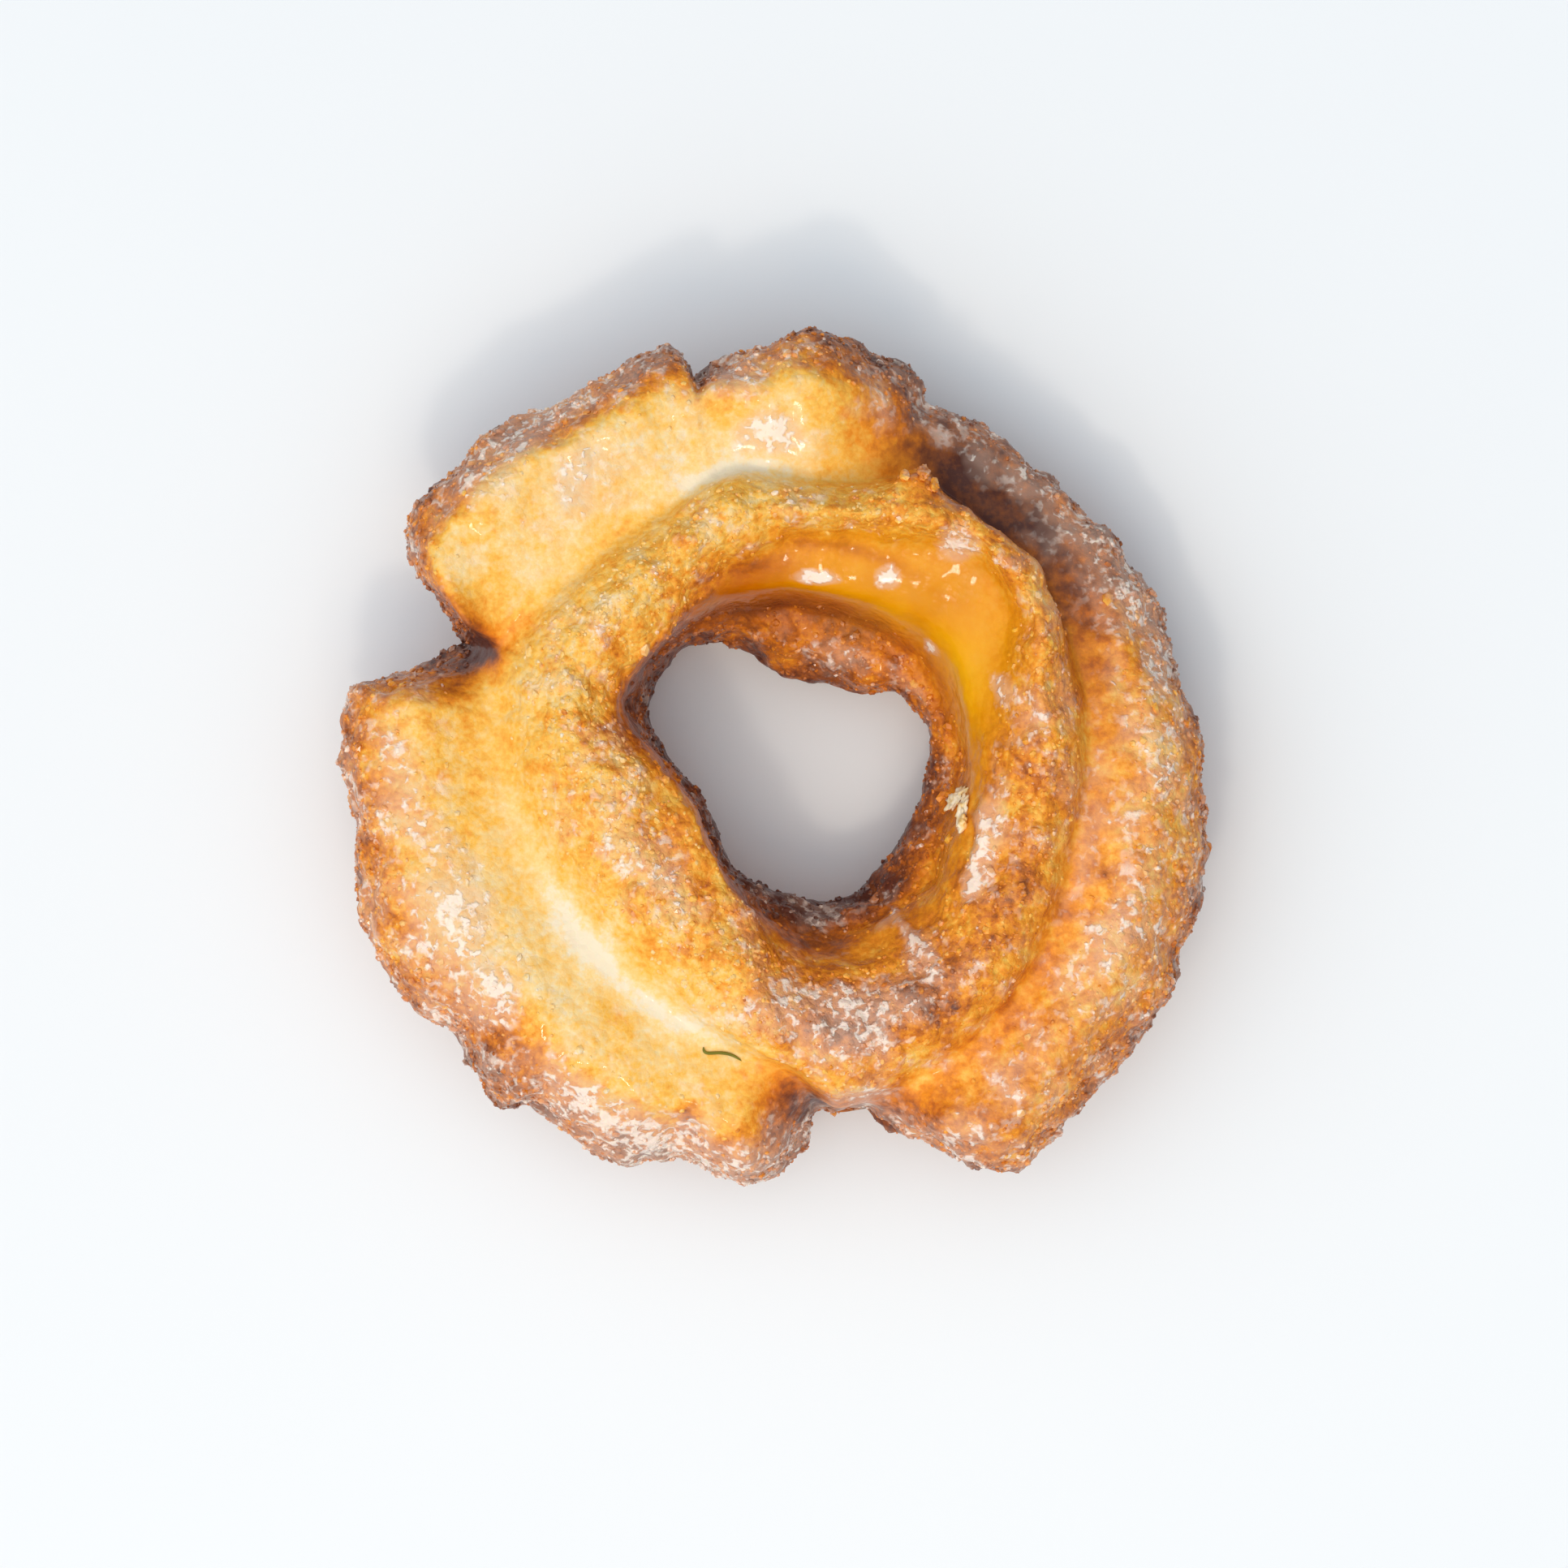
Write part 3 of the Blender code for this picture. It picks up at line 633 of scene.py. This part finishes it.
# How much white sugar glaze clings to the crust at each feature, and the spots where it lies
# thick, thin or not at all. Part of the white is painted light: the thick spots on the amber bank
# at 44, 65 and 84 degrees and on the top petal at 94 degrees are painted highlights, and the white
# strokes the glaze makes on crumbly crust are partly sugar and partly painted glints.
GLAZE = {
    "throat": 0.1, "lip": 0.32, "crease": 0.1, "bank": 0.1, "inner_edge": 0.28, "crest": 0.37,
    "shoulder": 0.34, "valley": 0.2, "crown": 0.38, "brow": 0.47, "rim": 0.48, "under_rim": 0.26,
    "waist": 0.3, "belly": 0.24, "foot_outer": 0.0, "foot_inner": 0.0, "heel": 0.0, "inner_belly": 0.1,
}
THICK_GLAZE = [
    (16.5, 39.3, 3, 1.0, 0.9), (24, 23.2, 5, 1.0, 0.9), (44, 19.6, 3, 0.5, 1.5),
    (55, 29.2, 4, 1.7, 1.2), (65, 22.8, 3.4, 1.1, 1.9), (84, 20.8, 7, 0.7, 1.7),
    (94, 35.7, 5.5, 2, 1.3), (216, 38.3, 4, 1.6, 0.8), (238, 40.5, 4, 1.6, 0.7), (305, 21.5, 3, 4, 0.7),
    (344, 21, 13, 1.2, 0.8),
]
THIN_GLAZE = [
    (0, 35.5, 14, 2.5, 0.12), (5, 32, 20, 2, 0.15), (10, 26, 20, 3, 0.1), (15, 25.5, 5, 1.2, 0.5),
    (28, 40.5, 13, 1.6, 0.4), (50, 38, 20, 4, 0.22), (50, 39, 12, 1.2, 0.2), (75, 13.5, 35, 3, 0.15),
    (96, 43, 7, 2, 0.3), (100, 40.9, 4, 2, 0.25), (122, 45.6, 6, 2, 0.25), (126, 37, 12, 3, 0.42),
    (128, 45, 14, 2, 0.2), (129, 38.6, 5, 2, 0.3), (132, 45, 10, 2, 0.15), (132, 46.5, 18, 2, 0.2),
    (181, 45.5, 8, 2, 0.15), (182, 40, 9, 3, 0.3), (200, 18.5, 45, 2.4, 0.2), (201, 39, 4, 2.6, 0.6),
    (203, 19.7, 8, 2, 0.3), (205, 38.5, 11, 3.5, 0.55), (219, 17.4, 6, 1.6, 0.4),
    (225, 42, 18, 3.5, 0.4), (247, 42.5, 8, 2, 0.2), (248, 40, 8, 3.5, 0.25), (250, 42, 9, 3.5, 0.3),
    (260, 42, 8, 3, 0.4), (263, 39.7, 4, 2.5, 0.25), (268, 23.6, 4, 1.8, 0.5),
    (275, 14.5, 30, 2.5, 0.3), (281, 26, 18, 3.6, 0.6), (282, 34.5, 8, 1.2, 0.4),
    (284, 24.2, 5, 1.6, 0.5), (297, 42.5, 5, 3, 0.3), (304, 40, 3, 2, 0.5), (330, 37, 40, 4, 0.28),
    (331, 21.8, 7, 0.9, 0.6), (332, 36.5, 6, 2, 0.4), (345, 31.5, 14, 1.5, 0.3),
]
BARE_SPOTS = [
    (22, 44.5, 14, 2, -0.15), (44, 41, 6, 2, -0.12), (62, 34.5, 14, 3, -0.2), (88, 45, 12, 2, -0.2),
    (135, 43, 16, 1.5, -0.15), (143, 46, 6, 2, -0.25), (158, 37, 5, 4, -0.5), (223, 41.8, 7, 3, -0.45),
    (240, 19.8, 8, 2, -0.12), (279, 25.1, 7, 2, -0.15), (301, 42, 5, 3, -0.15),
]

# Where the glaze ran together and set as a thick smooth drip with a ragged edge
DRIP_SPOTS = [
    (350, 19.9, 8, 0.9, 1.0), (337, 20.7, 8, 0.9, 1.0), (328, 21.9, 5, 0.9, 0.8),
    (306, 21.5, 2.2, 3.4, 0.9), (300, 18.4, 6, 1.0, 0.9),
]
DRIP_THICKNESS = 0.5
DRIP_GAIN = 1.4
DRIP_TRIM = 0.4
DRIP_RAGGEDNESS = 0.35
DRIP_RAGGED_SIZE = 1.8
DRIP_SEED = 51
DRIP_WHITENESS = 0.45

angles = spread_places(COLUMNS, FULL_TURN, column_density)
way = spread_places(ROWS, SECTION_LENGTH, row_density)
features = section_features(angles)
knots = [place for _, place in SECTION]
ring_radius = closed_curve(knots, [features[name][0] for name, _ in SECTION], way, SECTION_LENGTH)
ring_height = closed_curve(knots, [features[name][1] for name, _ in SECTION], way, SECTION_LENGTH)
turn = np.radians(angles)
points = np.stack([ring_radius * np.cos(turn), ring_radius * np.sin(turn), ring_height], axis=-1)
relief = sum(share * lattice_noise(points, size, seed) for size, share, seed in CRAG_LAYERS)
points = points + grid_normals(points) * (relief * by_feature(CRAG_DEPTH, way)[:, None])[..., None]

plan_angle = np.degrees(np.arctan2(points[..., 1], points[..., 0])) % FULL_TURN
plan_radius = np.hypot(points[..., 0], points[..., 1])
cracked_side = cracked_share(way)[:, None]


def by_feature_and_angle(table):
    """A value over the whole grid, from one closed curve of the angle per feature, 0 where none."""
    nowhere = [(0, 0.0), (180, 0.0)]
    curves = [around(table.get(name, nowhere), angles) for name, _ in SECTION]
    return closed_curve(knots, curves, way, SECTION_LENGTH)


def shown_spots(places):
    """The sum of the spots over the whole grid, on its cracked side only."""
    return cracked_side * spots(places, plan_angle, plan_radius)


crumb = by_feature(CRUMB, way)[:, None] + shown_spots(SMOOTH_SPOTS)
brown = by_feature_and_angle(BROWNING) + shown_spots(BROWNER_SPOTS + PALER_SPOTS)
amber = np.clip(by_feature_and_angle(AMBER), 0.0, 1.0)
crumb = np.clip(crumb * (1.0 - SYRUP_SMOOTHING * amber), 0.0, 1.0)
glaze = by_feature(GLAZE, way)[:, None] + shown_spots(THICK_GLAZE + THIN_GLAZE + BARE_SPOTS)
ragged = DRIP_RAGGEDNESS * lattice_noise(points, DRIP_RAGGED_SIZE, DRIP_SEED)
drip = np.clip(DRIP_GAIN * shown_spots(DRIP_SPOTS) - DRIP_TRIM + ragged, 0.0, 1.0)
glaze = np.clip(glaze + DRIP_WHITENESS * drip, 0.0, 2.0)
crumb = crumb * (1.0 - drip)

grain = np.zeros_like(crumb)
for size, depth, seed in GRAIN_LAYERS:
    grain = grain + depth * (grains(points, size, seed) - GRAIN_LEVEL)
lumps = np.zeros_like(crumb)
for size, depth, seed, on_smooth in LUMP_LAYERS:
    lumps = lumps + depth * lattice_noise(points, size, seed) * (on_smooth + crumb)
above_foot = (way < UNDERSIDE_START)[:, None]
risen = grain * crumb + lumps * above_foot + DRIP_THICKNESS * drip
points = points + grid_normals(points) * risen[..., None]
points[..., :2] += HOLE_CENTRE
points[..., 2] = np.maximum(points[..., 2], 0.0)
middle = (points[..., :2].max(axis=(0, 1)) + points[..., :2].min(axis=(0, 1))) / 2
points[..., :2] -= middle

# The crust's colours. Its own go by a shade from 0 to 1 and the syrup's by its lightness. Each
# pattern's scale is how many of its waves or cells fit in a metre.
CRUST_STOPS = [
    (0.0, (240, 226, 198)), (0.14, (246, 214, 150)), (0.33, (250, 192, 84)), (0.5, (240, 152, 44)),
    (0.66, (206, 116, 40)), (0.82, (152, 84, 44)), (1.0, (96, 54, 44)),
]
SYRUP_STOPS = [
    (0.0, (140, 60, 0)), (0.35, (194, 104, 0)), (0.7, (228, 150, 2)), (1.0, (244, 182, 14)),
]
SYRUP_SHARE = 0.97
FILM_COLOUR = (228, 190, 168)
FILM_SHARE = 0.44
# The frost's white is partly sugar and partly painted glints and highlights on the glaze
FROST_COLOUR = (255, 240, 227)
FROST_SHARE = 0.8
CRUST_SCALES = {
    "broad": 90.0, "patch": 260.0, "fine": 820.0, "speck": 1900.0, "cover": 240.0,
    "cluster": 420.0, "curl": 1080.0, "pebble": 1150.0,
}
CRUST_INPUTS = ("Browning", "Glaze", "Amber", "Grain", "Crumb")
COAT_ROUGHNESS = 0.05
BUMP_STRENGTH = 0.9
BUMP_HEIGHT = 0.3 * MM
CRUMB_GLOW = 0.15
GLOW_TINT = (1.0, 0.45, 0.18)
GLOW_REACH = 1.5 * MM


def crust_group():
    """Colour, roughness and fine height of fried crust, from its five inputs.

    The crust's shade is Browning plus noise, stronger where it is browner or crumbly,
    plus a little Grain; it carries the painted shade that comes in with that input. Amber blends
    its colour over to syrup, which is darker where Browning is high: painted shade in
    the crease and under the crust's edge. The sugar's cover is Glaze plus noise, less a little
    Amber. A film lies where the cover passes 0.38, and frost where it passes 0.29: clustered
    strokes on crumb, partly sugar and partly painted glints, and solid patches where it is high,
    which on the amber bank and the top petal are painted highlights. The height is noise less the
    distance to the nearest pebble's middle, most on crumb, plus frost.
    """
    group = bpy.data.node_groups.new("fried_crust", "ShaderNodeTree")
    for name in CRUST_INPUTS:
        group.interface.new_socket(name, in_out="INPUT", socket_type="NodeSocketFloat")
    group.interface.new_socket("Colour", in_out="OUTPUT", socket_type="NodeSocketColor")
    for name in ("Roughness", "Height"):
        group.interface.new_socket(name, in_out="OUTPUT", socket_type="NodeSocketFloat")
    given = group.nodes.new("NodeGroupInput").outputs
    taken = group.nodes.new("NodeGroupOutput").inputs
    where = add_node(group, "ShaderNodeTexCoord").outputs["Object"]

    def times_plus(value, times, plus=0.0, held=False):
        """The value times the second plus the third, kept from 0 to 1 if it is to be held."""
        kind = {"operation": "MULTIPLY_ADD", "use_clamp": held}
        return add_node(group, "ShaderNodeMath", kind, i0=value, i1=times, i2=plus).outputs[0]

    def noise(name, detail=3.0, rough=0.55, twist=0.0):
        """Soft noise round 0.5, at the scale given for its name."""
        look = {"Scale": CRUST_SCALES[name], "Detail": detail, "Roughness": rough}
        return add_node(
            group, "ShaderNodeTexNoise", Vector=where, Distortion=twist, **look
        ).outputs["Fac"]

    def ramp(value, stops):
        """The colour at a value from 0 to 1, blended evenly between the stops."""
        node = add_node(group, "ShaderNodeValToRGB", Fac=value)
        for place, _ in stops[1:-1]:
            node.color_ramp.elements.new(place)
        for element, (place, colour) in zip(node.color_ramp.elements, stops):
            element.position = place
            element.color = linear(colour)
        return node.outputs["Color"]

    # The crust's tone, painted shade included, and the syrup's lightness, darker with that painted shade
    broad = noise("broad")
    fine = noise("fine", rough=0.6)
    speck = noise("speck", rough=0.6)
    uneven = times_plus(noise("patch"), 0.75, times_plus(broad, 0.5, -0.625))
    shade = times_plus(uneven, times_plus(given["Browning"], 0.6, 0.5), given["Browning"])
    rubble = times_plus(speck, 0.6, times_plus(fine, 1.0, -0.8))
    shade = times_plus(rubble, times_plus(given["Crumb"], 0.3, 0.4), shade)
    shade = times_plus(times_plus(given["Grain"], given["Crumb"]), 0.2, shade)
    paler = times_plus(given["Browning"], -1.3, 1.3)
    light = times_plus(times_plus(broad, 1.0, -0.5), 0.9, paler)
    soaked = times_plus(given["Amber"], SYRUP_SHARE)
    colour = blend(group, soaked, ramp(shade, CRUST_STOPS), ramp(light, SYRUP_STOPS))

    # The sugar: its cover, the thin film, and the frost in strokes and patches, which are partly painted
    # glints and highlights
    curls = noise("curl", 2.0, 0.5, 0.3)
    cover = times_plus(times_plus(noise("cover", 2.0), 1.0, -0.5), 1.3, given["Glaze"])
    cover = times_plus(given["Amber"], -0.15, cover)
    film = times_plus(cover, 2.2, -0.84, True)
    clusters = times_plus(noise("cluster", 1.0), 4.0, -5.75)
    strokes = times_plus(curls, 7.0, clusters, True)
    strokes = times_plus(strokes, times_plus(given["Crumb"], 0.6, 0.4))
    strokes = times_plus(strokes, times_plus(cover, 2.4, -0.7, True))
    patches = times_plus(cover, 3.0, times_plus(curls, 7.0, -6.6), True)
    frost = times_plus(patches, 1.0, strokes, True)
    colour = blend(group, times_plus(film, FILM_SHARE), colour, linear(FILM_COLOUR))
    colour = blend(group, times_plus(frost, FROST_SHARE), colour, linear(FROST_COLOUR))

    # Roughness, less under the frost and its painted glints and under syrup, and the fine height
    rough = times_plus(fine, 0.3, 0.2)
    rough = times_plus(frost, -0.12, rough)
    rough = times_plus(given["Amber"], -0.2, rough, True)
    pebbles = add_node(group, "ShaderNodeTexVoronoi", Vector=where, Scale=CRUST_SCALES["pebble"])
    tall = times_plus(pebbles.outputs["Distance"], -1.0, times_plus(speck, 0.25, fine))
    tall = times_plus(tall, times_plus(given["Crumb"], 0.8, 0.2))
    tall = times_plus(frost, 0.35, tall)
    for name, value in (("Colour", colour), ("Roughness", rough), ("Height", tall)):
        group.links.new(value, taken[name])
    return group


def crust_material(name, specular, coat):
    """Fried crust under a clear coat of glaze, with its node tree, its shader and its fine height.

    The group's five inputs are read from the values kept on the mesh's points.
    """
    material, tree, shader = new_material(name)
    crust = add_node(tree, "ShaderNodeGroup", {"node_tree": fried_crust})
    for given in CRUST_INPUTS:
        kept = add_node(tree, "ShaderNodeAttribute", {"attribute_name": given.lower()})
        tree.links.new(kept.outputs["Fac"], crust.inputs[given])
    tree.links.new(crust.outputs["Colour"], shader.inputs["Base Color"])
    tree.links.new(crust.outputs["Roughness"], shader.inputs["Roughness"])
    shader.inputs["Specular IOR Level"].default_value = specular
    shader.inputs["Coat Weight"].default_value = coat
    shader.inputs["Coat Roughness"].default_value = COAT_ROUGHNESS
    return material, tree, shader, crust.outputs["Height"]


def keep_on_points(piece, times, **layers):
    """Keeps layers of values on a mesh's points, each value for that many points in a row."""
    for name, values in layers.items():
        kept = piece.data.attributes.new(name, "FLOAT", "POINT")
        kept.data.foreach_set("value", np.repeat(np.asarray(values, dtype=np.float32), times))


fried_crust = crust_group()
glazed_dough, tree, shader, fine_height = crust_material("glazed_dough", 0.08, 0.25)
bump = add_node(tree, "ShaderNodeBump", Strength=BUMP_STRENGTH, Distance=BUMP_HEIGHT, Height=fine_height)
tree.links.new(bump.outputs["Normal"], shader.inputs["Normal"])
shader.inputs["Subsurface Weight"].default_value = CRUMB_GLOW
shader.inputs["Subsurface Radius"].default_value = GLOW_TINT
shader.inputs["Subsurface Scale"].default_value = GLOW_REACH

dough = mesh_object("dough", points * MM, grid_faces(ROWS, COLUMNS), glazed_dough)
# The browning layer carries painted shade, and the glaze layer painted highlights and glints
keep_on_points(dough, 1, browning=brown, glaze=glaze, amber=amber, grain=grain, crumb=crumb)
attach(dough, "root")
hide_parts("doughnut")

# Loose and half-loose crumbs of the crust, fried hard and caught in the glaze. They are thickest
# on the crests and rims. Each is a lumpy twenty-sided grain, half sunk in the dough.
CRUMB_COUNT = 9000
CRUMB_SEED = 41
CRUMBLY_FROM = 0.25
CRUMB_GATHERING = 1.5
UNCRACKED_SHARE = 0.12
CRUMB_WIDTH = 0.17
CRUMB_SPREAD = (0.1, 0.4)
CRUMB_STRETCH = (0.8, 1.4)
CRUMB_THICKNESS = 0.9
CRUMB_SINKING = 0.1
CRUMB_BROWNING = (-0.06, 0.06)
CRUMB_GLAZE = (0.0, 0.15)


def scatter(count, density, seed):
    """Random places on the dough: grid cells drawn by area times density, then a point in each."""
    rng = np.random.RandomState(seed)
    across = np.roll(points, -1, axis=0) - points
    along = np.roll(points, -1, axis=1) - points
    chance = np.linalg.norm(np.cross(across, along), axis=-1) * density
    picks = rng.choice(chance.size, size=count, p=(chance / chance.sum()).ravel())
    row, column = np.unravel_index(picks, chance.shape)
    share = rng.uniform(size=(2, count, 1))
    places = points[row, column] + across[row, column] * share[0] + along[row, column] * share[1]
    return places, grid_normals(points)[row, column], (row, column)


def ball_of_twenty():
    """Corners and faces of a regular twenty-sided ball of radius 1, whose edges are 1.05 long."""
    golden = (1 + 5**0.5) / 2
    flat = np.array([(-1, golden, 0), (1, golden, 0), (-1, -golden, 0), (1, -golden, 0)])
    corners = np.concatenate([flat, np.roll(flat, 1, axis=1), np.roll(flat, 2, axis=1)])
    corners = corners / np.linalg.norm(corners[0])
    gaps = np.linalg.norm(corners[:, None] - corners[None], axis=-1)
    near = (gaps < 1.1) & (gaps > 0)
    faces = [
        (a, b, c) for a in range(12) for b in range(a + 1, 12) for c in range(b + 1, 12)
        if near[a, b] and near[b, c] and near[a, c]
    ]
    faces = np.array(faces)
    first, second, third = np.moveaxis(corners[faces], 1, 0)
    outward = (np.cross(second - first, third - first) * first).sum(axis=-1)
    faces[outward < 0] = faces[outward < 0][:, ::-1]
    return corners, faces


def grain_mesh(places, normals, sizes, seed):
    """One lumpy ball per place: each corner is the unit ball's, moved in or out by up to a quarter,
    stretched by the sizes along two random directions across the surface and along its normal.
    """
    rng = np.random.RandomState(seed)
    corners, faces = ball_of_twenty()
    first = np.cross(normals, rng.normal(size=normals.shape))
    first /= np.linalg.norm(first, axis=1, keepdims=True)
    axes = np.stack([first, np.cross(normals, first), normals], axis=1)
    lumpy = corners[None] * rng.uniform(0.75, 1.2, size=(len(places), len(corners), 1))
    verts = places[:, None] + lumpy * sizes[:, None] @ axes
    offsets = len(corners) * np.arange(len(places))
    return verts.reshape(-1, 3), (faces[None] + offsets[:, None, None]).reshape(-1, 3)


rng = np.random.RandomState(CRUMB_SEED)
where_crumbly = np.clip(crumb - CRUMBLY_FROM, 0.0, 1.0) ** CRUMB_GATHERING
density = where_crumbly * mix(UNCRACKED_SHARE, 1.0, cracked_side)
places, normals, picked = scatter(CRUMB_COUNT, density, CRUMB_SEED)
width = CRUMB_WIDTH * np.exp(rng.normal(*CRUMB_SPREAD, size=CRUMB_COUNT))
stretch = rng.uniform(*CRUMB_STRETCH, (CRUMB_COUNT, 2))
sizes = width[:, None] * np.column_stack([stretch, np.full(CRUMB_COUNT, CRUMB_THICKNESS)])
sunk = places - normals * (CRUMB_SINKING * width)[:, None]
verts, faces = grain_mesh(sunk, normals, sizes, CRUMB_SEED)

crumb_crust = crust_material("crumb_crust", 0.3, 0.3)[0]
crumbs = mesh_object("crumbs", verts * MM, faces, crumb_crust)
crumbs.data.shade_flat()
# Each crumb takes the dough's browning and glaze where it lies, painted shade and highlights included
keep_on_points(
    crumbs,
    len(verts) // CRUMB_COUNT,
    browning=brown[picked] + rng.normal(*CRUMB_BROWNING, CRUMB_COUNT),
    glaze=glaze[picked] + rng.normal(*CRUMB_GLAZE, CRUMB_COUNT),
    amber=amber[picked],
    grain=np.zeros(CRUMB_COUNT),
    crumb=np.ones(CRUMB_COUNT),
)
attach(crumbs, "root")

# Two torn scraps of crust that stand up from the ring: a spur on its outer corner and a pale flake
# on the inner wall. Each is a few ragged lumps, given as the angle and radius of the middle, the
# way the long side points, half the length, width and height, and how brown it is.
SCRAPS = [
    (67.3, 33.9, 78, 1.3, 0.6, 0.5, 0.5), (64.6, 33.2, 60, 0.9, 0.5, 0.4, 0.52),
    (70.0, 32.9, 110, 0.9, 0.5, 0.4, 0.5), (352.0, 17.4, 10, 1.6, 0.9, 0.5, 0.02),
    (347.2, 18.1, 100, 1.7, 0.8, 0.5, 0.04), (343.6, 18.5, 60, 0.9, 0.6, 0.5, 0.1),
]
SCRAP_SEED = 61
SCRAP_LIFT = 0.7
SCRAP_GLAZE = 0.3
RAGGED_SIZE = 0.55
RAGGED_SHARE = 0.45
FINER_SHARE = 0.6
HEIGHT_COUNTS = 0.02


def on_dough(angle, radius):
    """The dough's grid point at an angle and radius on its cracked side, and its normal.

    It is the nearest one on the plan, where each millimetre of height counts as a little nearer.
    """
    turn = np.radians(angle)
    flat = np.array([radius * np.cos(turn), radius * np.sin(turn)]) + HOLE_CENTRE - middle
    gap = np.linalg.norm(points[..., :2] - flat, axis=-1) - HEIGHT_COUNTS * points[..., 2]
    gap[way >= TOP_END] = np.inf
    nearest = np.unravel_index(gap.argmin(), gap.shape)
    return points[nearest], grid_normals(points)[nearest]


def split_in_four(corners, faces):
    """Each face as four smaller ones, with the new corners moved out to the ball of radius 1."""
    edges = np.sort(np.concatenate([faces[:, [0, 1]], faces[:, [1, 2]], faces[:, [2, 0]]]), axis=1)
    edges, which = np.unique(edges, axis=0, return_inverse=True)
    middles = corners[edges].mean(axis=1)
    middles /= np.linalg.norm(middles, axis=1, keepdims=True)
    ab, bc, ca = which.reshape(3, -1) + len(corners)
    a, b, c = faces.T
    smaller = [np.column_stack(three) for three in ((a, ab, ca), (ab, b, bc), (ca, bc, c), (ab, bc, ca))]
    return np.concatenate([corners, middles]), np.concatenate(smaller)


ball, ball_faces = split_in_four(*split_in_four(*split_in_four(*ball_of_twenty())))
verts, faces = [], []
for number, (angle, radius, points_to, *half_size, _) in enumerate(SCRAPS):
    place, up = on_dough(angle, radius)
    bearing = np.radians(points_to)
    long_way = np.array([np.cos(bearing), np.sin(bearing), 0.0])
    long_way -= up * (long_way @ up)
    long_way /= np.linalg.norm(long_way)
    axes = np.stack([long_way, np.cross(up, long_way), up])
    lump = (ball * half_size) @ axes + place + up * SCRAP_LIFT * half_size[2]
    torn = lattice_noise(lump, RAGGED_SIZE, SCRAP_SEED)
    torn = torn + FINER_SHARE * lattice_noise(lump, RAGGED_SIZE / 2, SCRAP_SEED + 1)
    verts.append(lump + (lump - lump.mean(axis=0)) * (RAGGED_SHARE * torn)[:, None])
    faces.append(ball_faces + number * len(ball))
scraps = mesh_object("scraps", np.concatenate(verts) * MM, np.concatenate(faces), crumb_crust)
keep_on_points(
    scraps,
    len(ball),
    browning=[scrap[-1] for scrap in SCRAPS],
    glaze=np.full(len(SCRAPS), SCRAP_GLAZE),
    crumb=np.ones(len(SCRAPS)),
)
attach(scraps, "root")

# A short dark green fibre lies stuck in the glaze on the lower left petal, near the ring. It is
# a round thread, carried along a curve of four places and closed at both ends.
FIBRE_ROUTE = [(250.9, 29.9), (252.3, 30.3), (255.5, 29.95), (259.3, 30.4)]
FIBRE_RADIUS = 0.16
FIBRE_LIFT = 1.2
FIBRE_RINGS = 22
FIBRE_SIDES = 8
TIP_BLUNTNESS = 6
TIP_SHARE = 0.02
DYE_COLOURS = ((80, 82, 0), (132, 128, 6))
DYE_SCALE = 900.0
FIBRE_ROUGHNESS = 0.45

route = np.array([on_dough(angle, radius)[0] for angle, radius in FIBRE_ROUTE])
route[:, 2] += FIBRE_RADIUS * FIBRE_LIFT
share = np.linspace(0.0, 1.0, FIBRE_RINGS)
fit = np.polyfit(np.linspace(0.0, 1.0, len(route)), route, 3)
centres = sum(fit[power] * share[:, None] ** (3 - power) for power in range(4))
forward = np.gradient(centres, axis=0)
forward /= np.linalg.norm(forward, axis=1, keepdims=True)
sideways = np.cross(forward, (0.0, 0.0, 1.0))
sideways /= np.linalg.norm(sideways, axis=1, keepdims=True)
above = np.cross(sideways, forward)
taper = np.clip(1.0 - (2.0 * share - 1.0) ** TIP_BLUNTNESS, TIP_SHARE, 1.0)
thick = FIBRE_RADIUS * np.sqrt(taper)
around_thread = np.arange(FIBRE_SIDES)
circle = around_thread / FIBRE_SIDES * 2 * np.pi
ring = sideways[:, None] * np.cos(circle)[None, :, None] + above[:, None] * np.sin(circle)[None, :, None]
verts = np.concatenate([(centres[:, None] + thick[:, None, None] * ring).reshape(-1, 3), centres[[0, -1]]])
start, step = np.meshgrid(np.arange(FIBRE_RINGS - 1) * FIBRE_SIDES, around_thread, indexing="ij")
after = (step + 1) % FIBRE_SIDES
next_start = start + FIBRE_SIDES
sides = np.stack([start + step, start + after, next_start + after, next_start + step], axis=-1)
turn_on = (around_thread + 1) % FIBRE_SIDES
last = (FIBRE_RINGS - 1) * FIBRE_SIDES
tip = np.full(FIBRE_SIDES, FIBRE_RINGS * FIBRE_SIDES)
near_end = np.column_stack([turn_on, around_thread, tip])
far_end = np.column_stack([last + around_thread, last + turn_on, tip + 1])
faces = sides.reshape(-1, 4).tolist() + near_end.tolist() + far_end.tolist()

green_fibre, tree, shader = new_material("green_fibre")
where = add_node(tree, "ShaderNodeTexCoord").outputs["Object"]
uneven = add_node(tree, "ShaderNodeTexNoise", Vector=where, Scale=DYE_SCALE, Detail=2.0)
dye = add_node(tree, "ShaderNodeValToRGB", Fac=uneven.outputs["Fac"])
for element, colour in zip(dye.color_ramp.elements, DYE_COLOURS):
    element.color = linear(colour)
tree.links.new(dye.outputs["Color"], shader.inputs["Base Color"])
shader.inputs["Roughness"].default_value = FIBRE_ROUGHNESS
fibre = mesh_object("fibre", verts * MM, np.array(faces, dtype=object), green_fibre)
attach(fibre, "root")
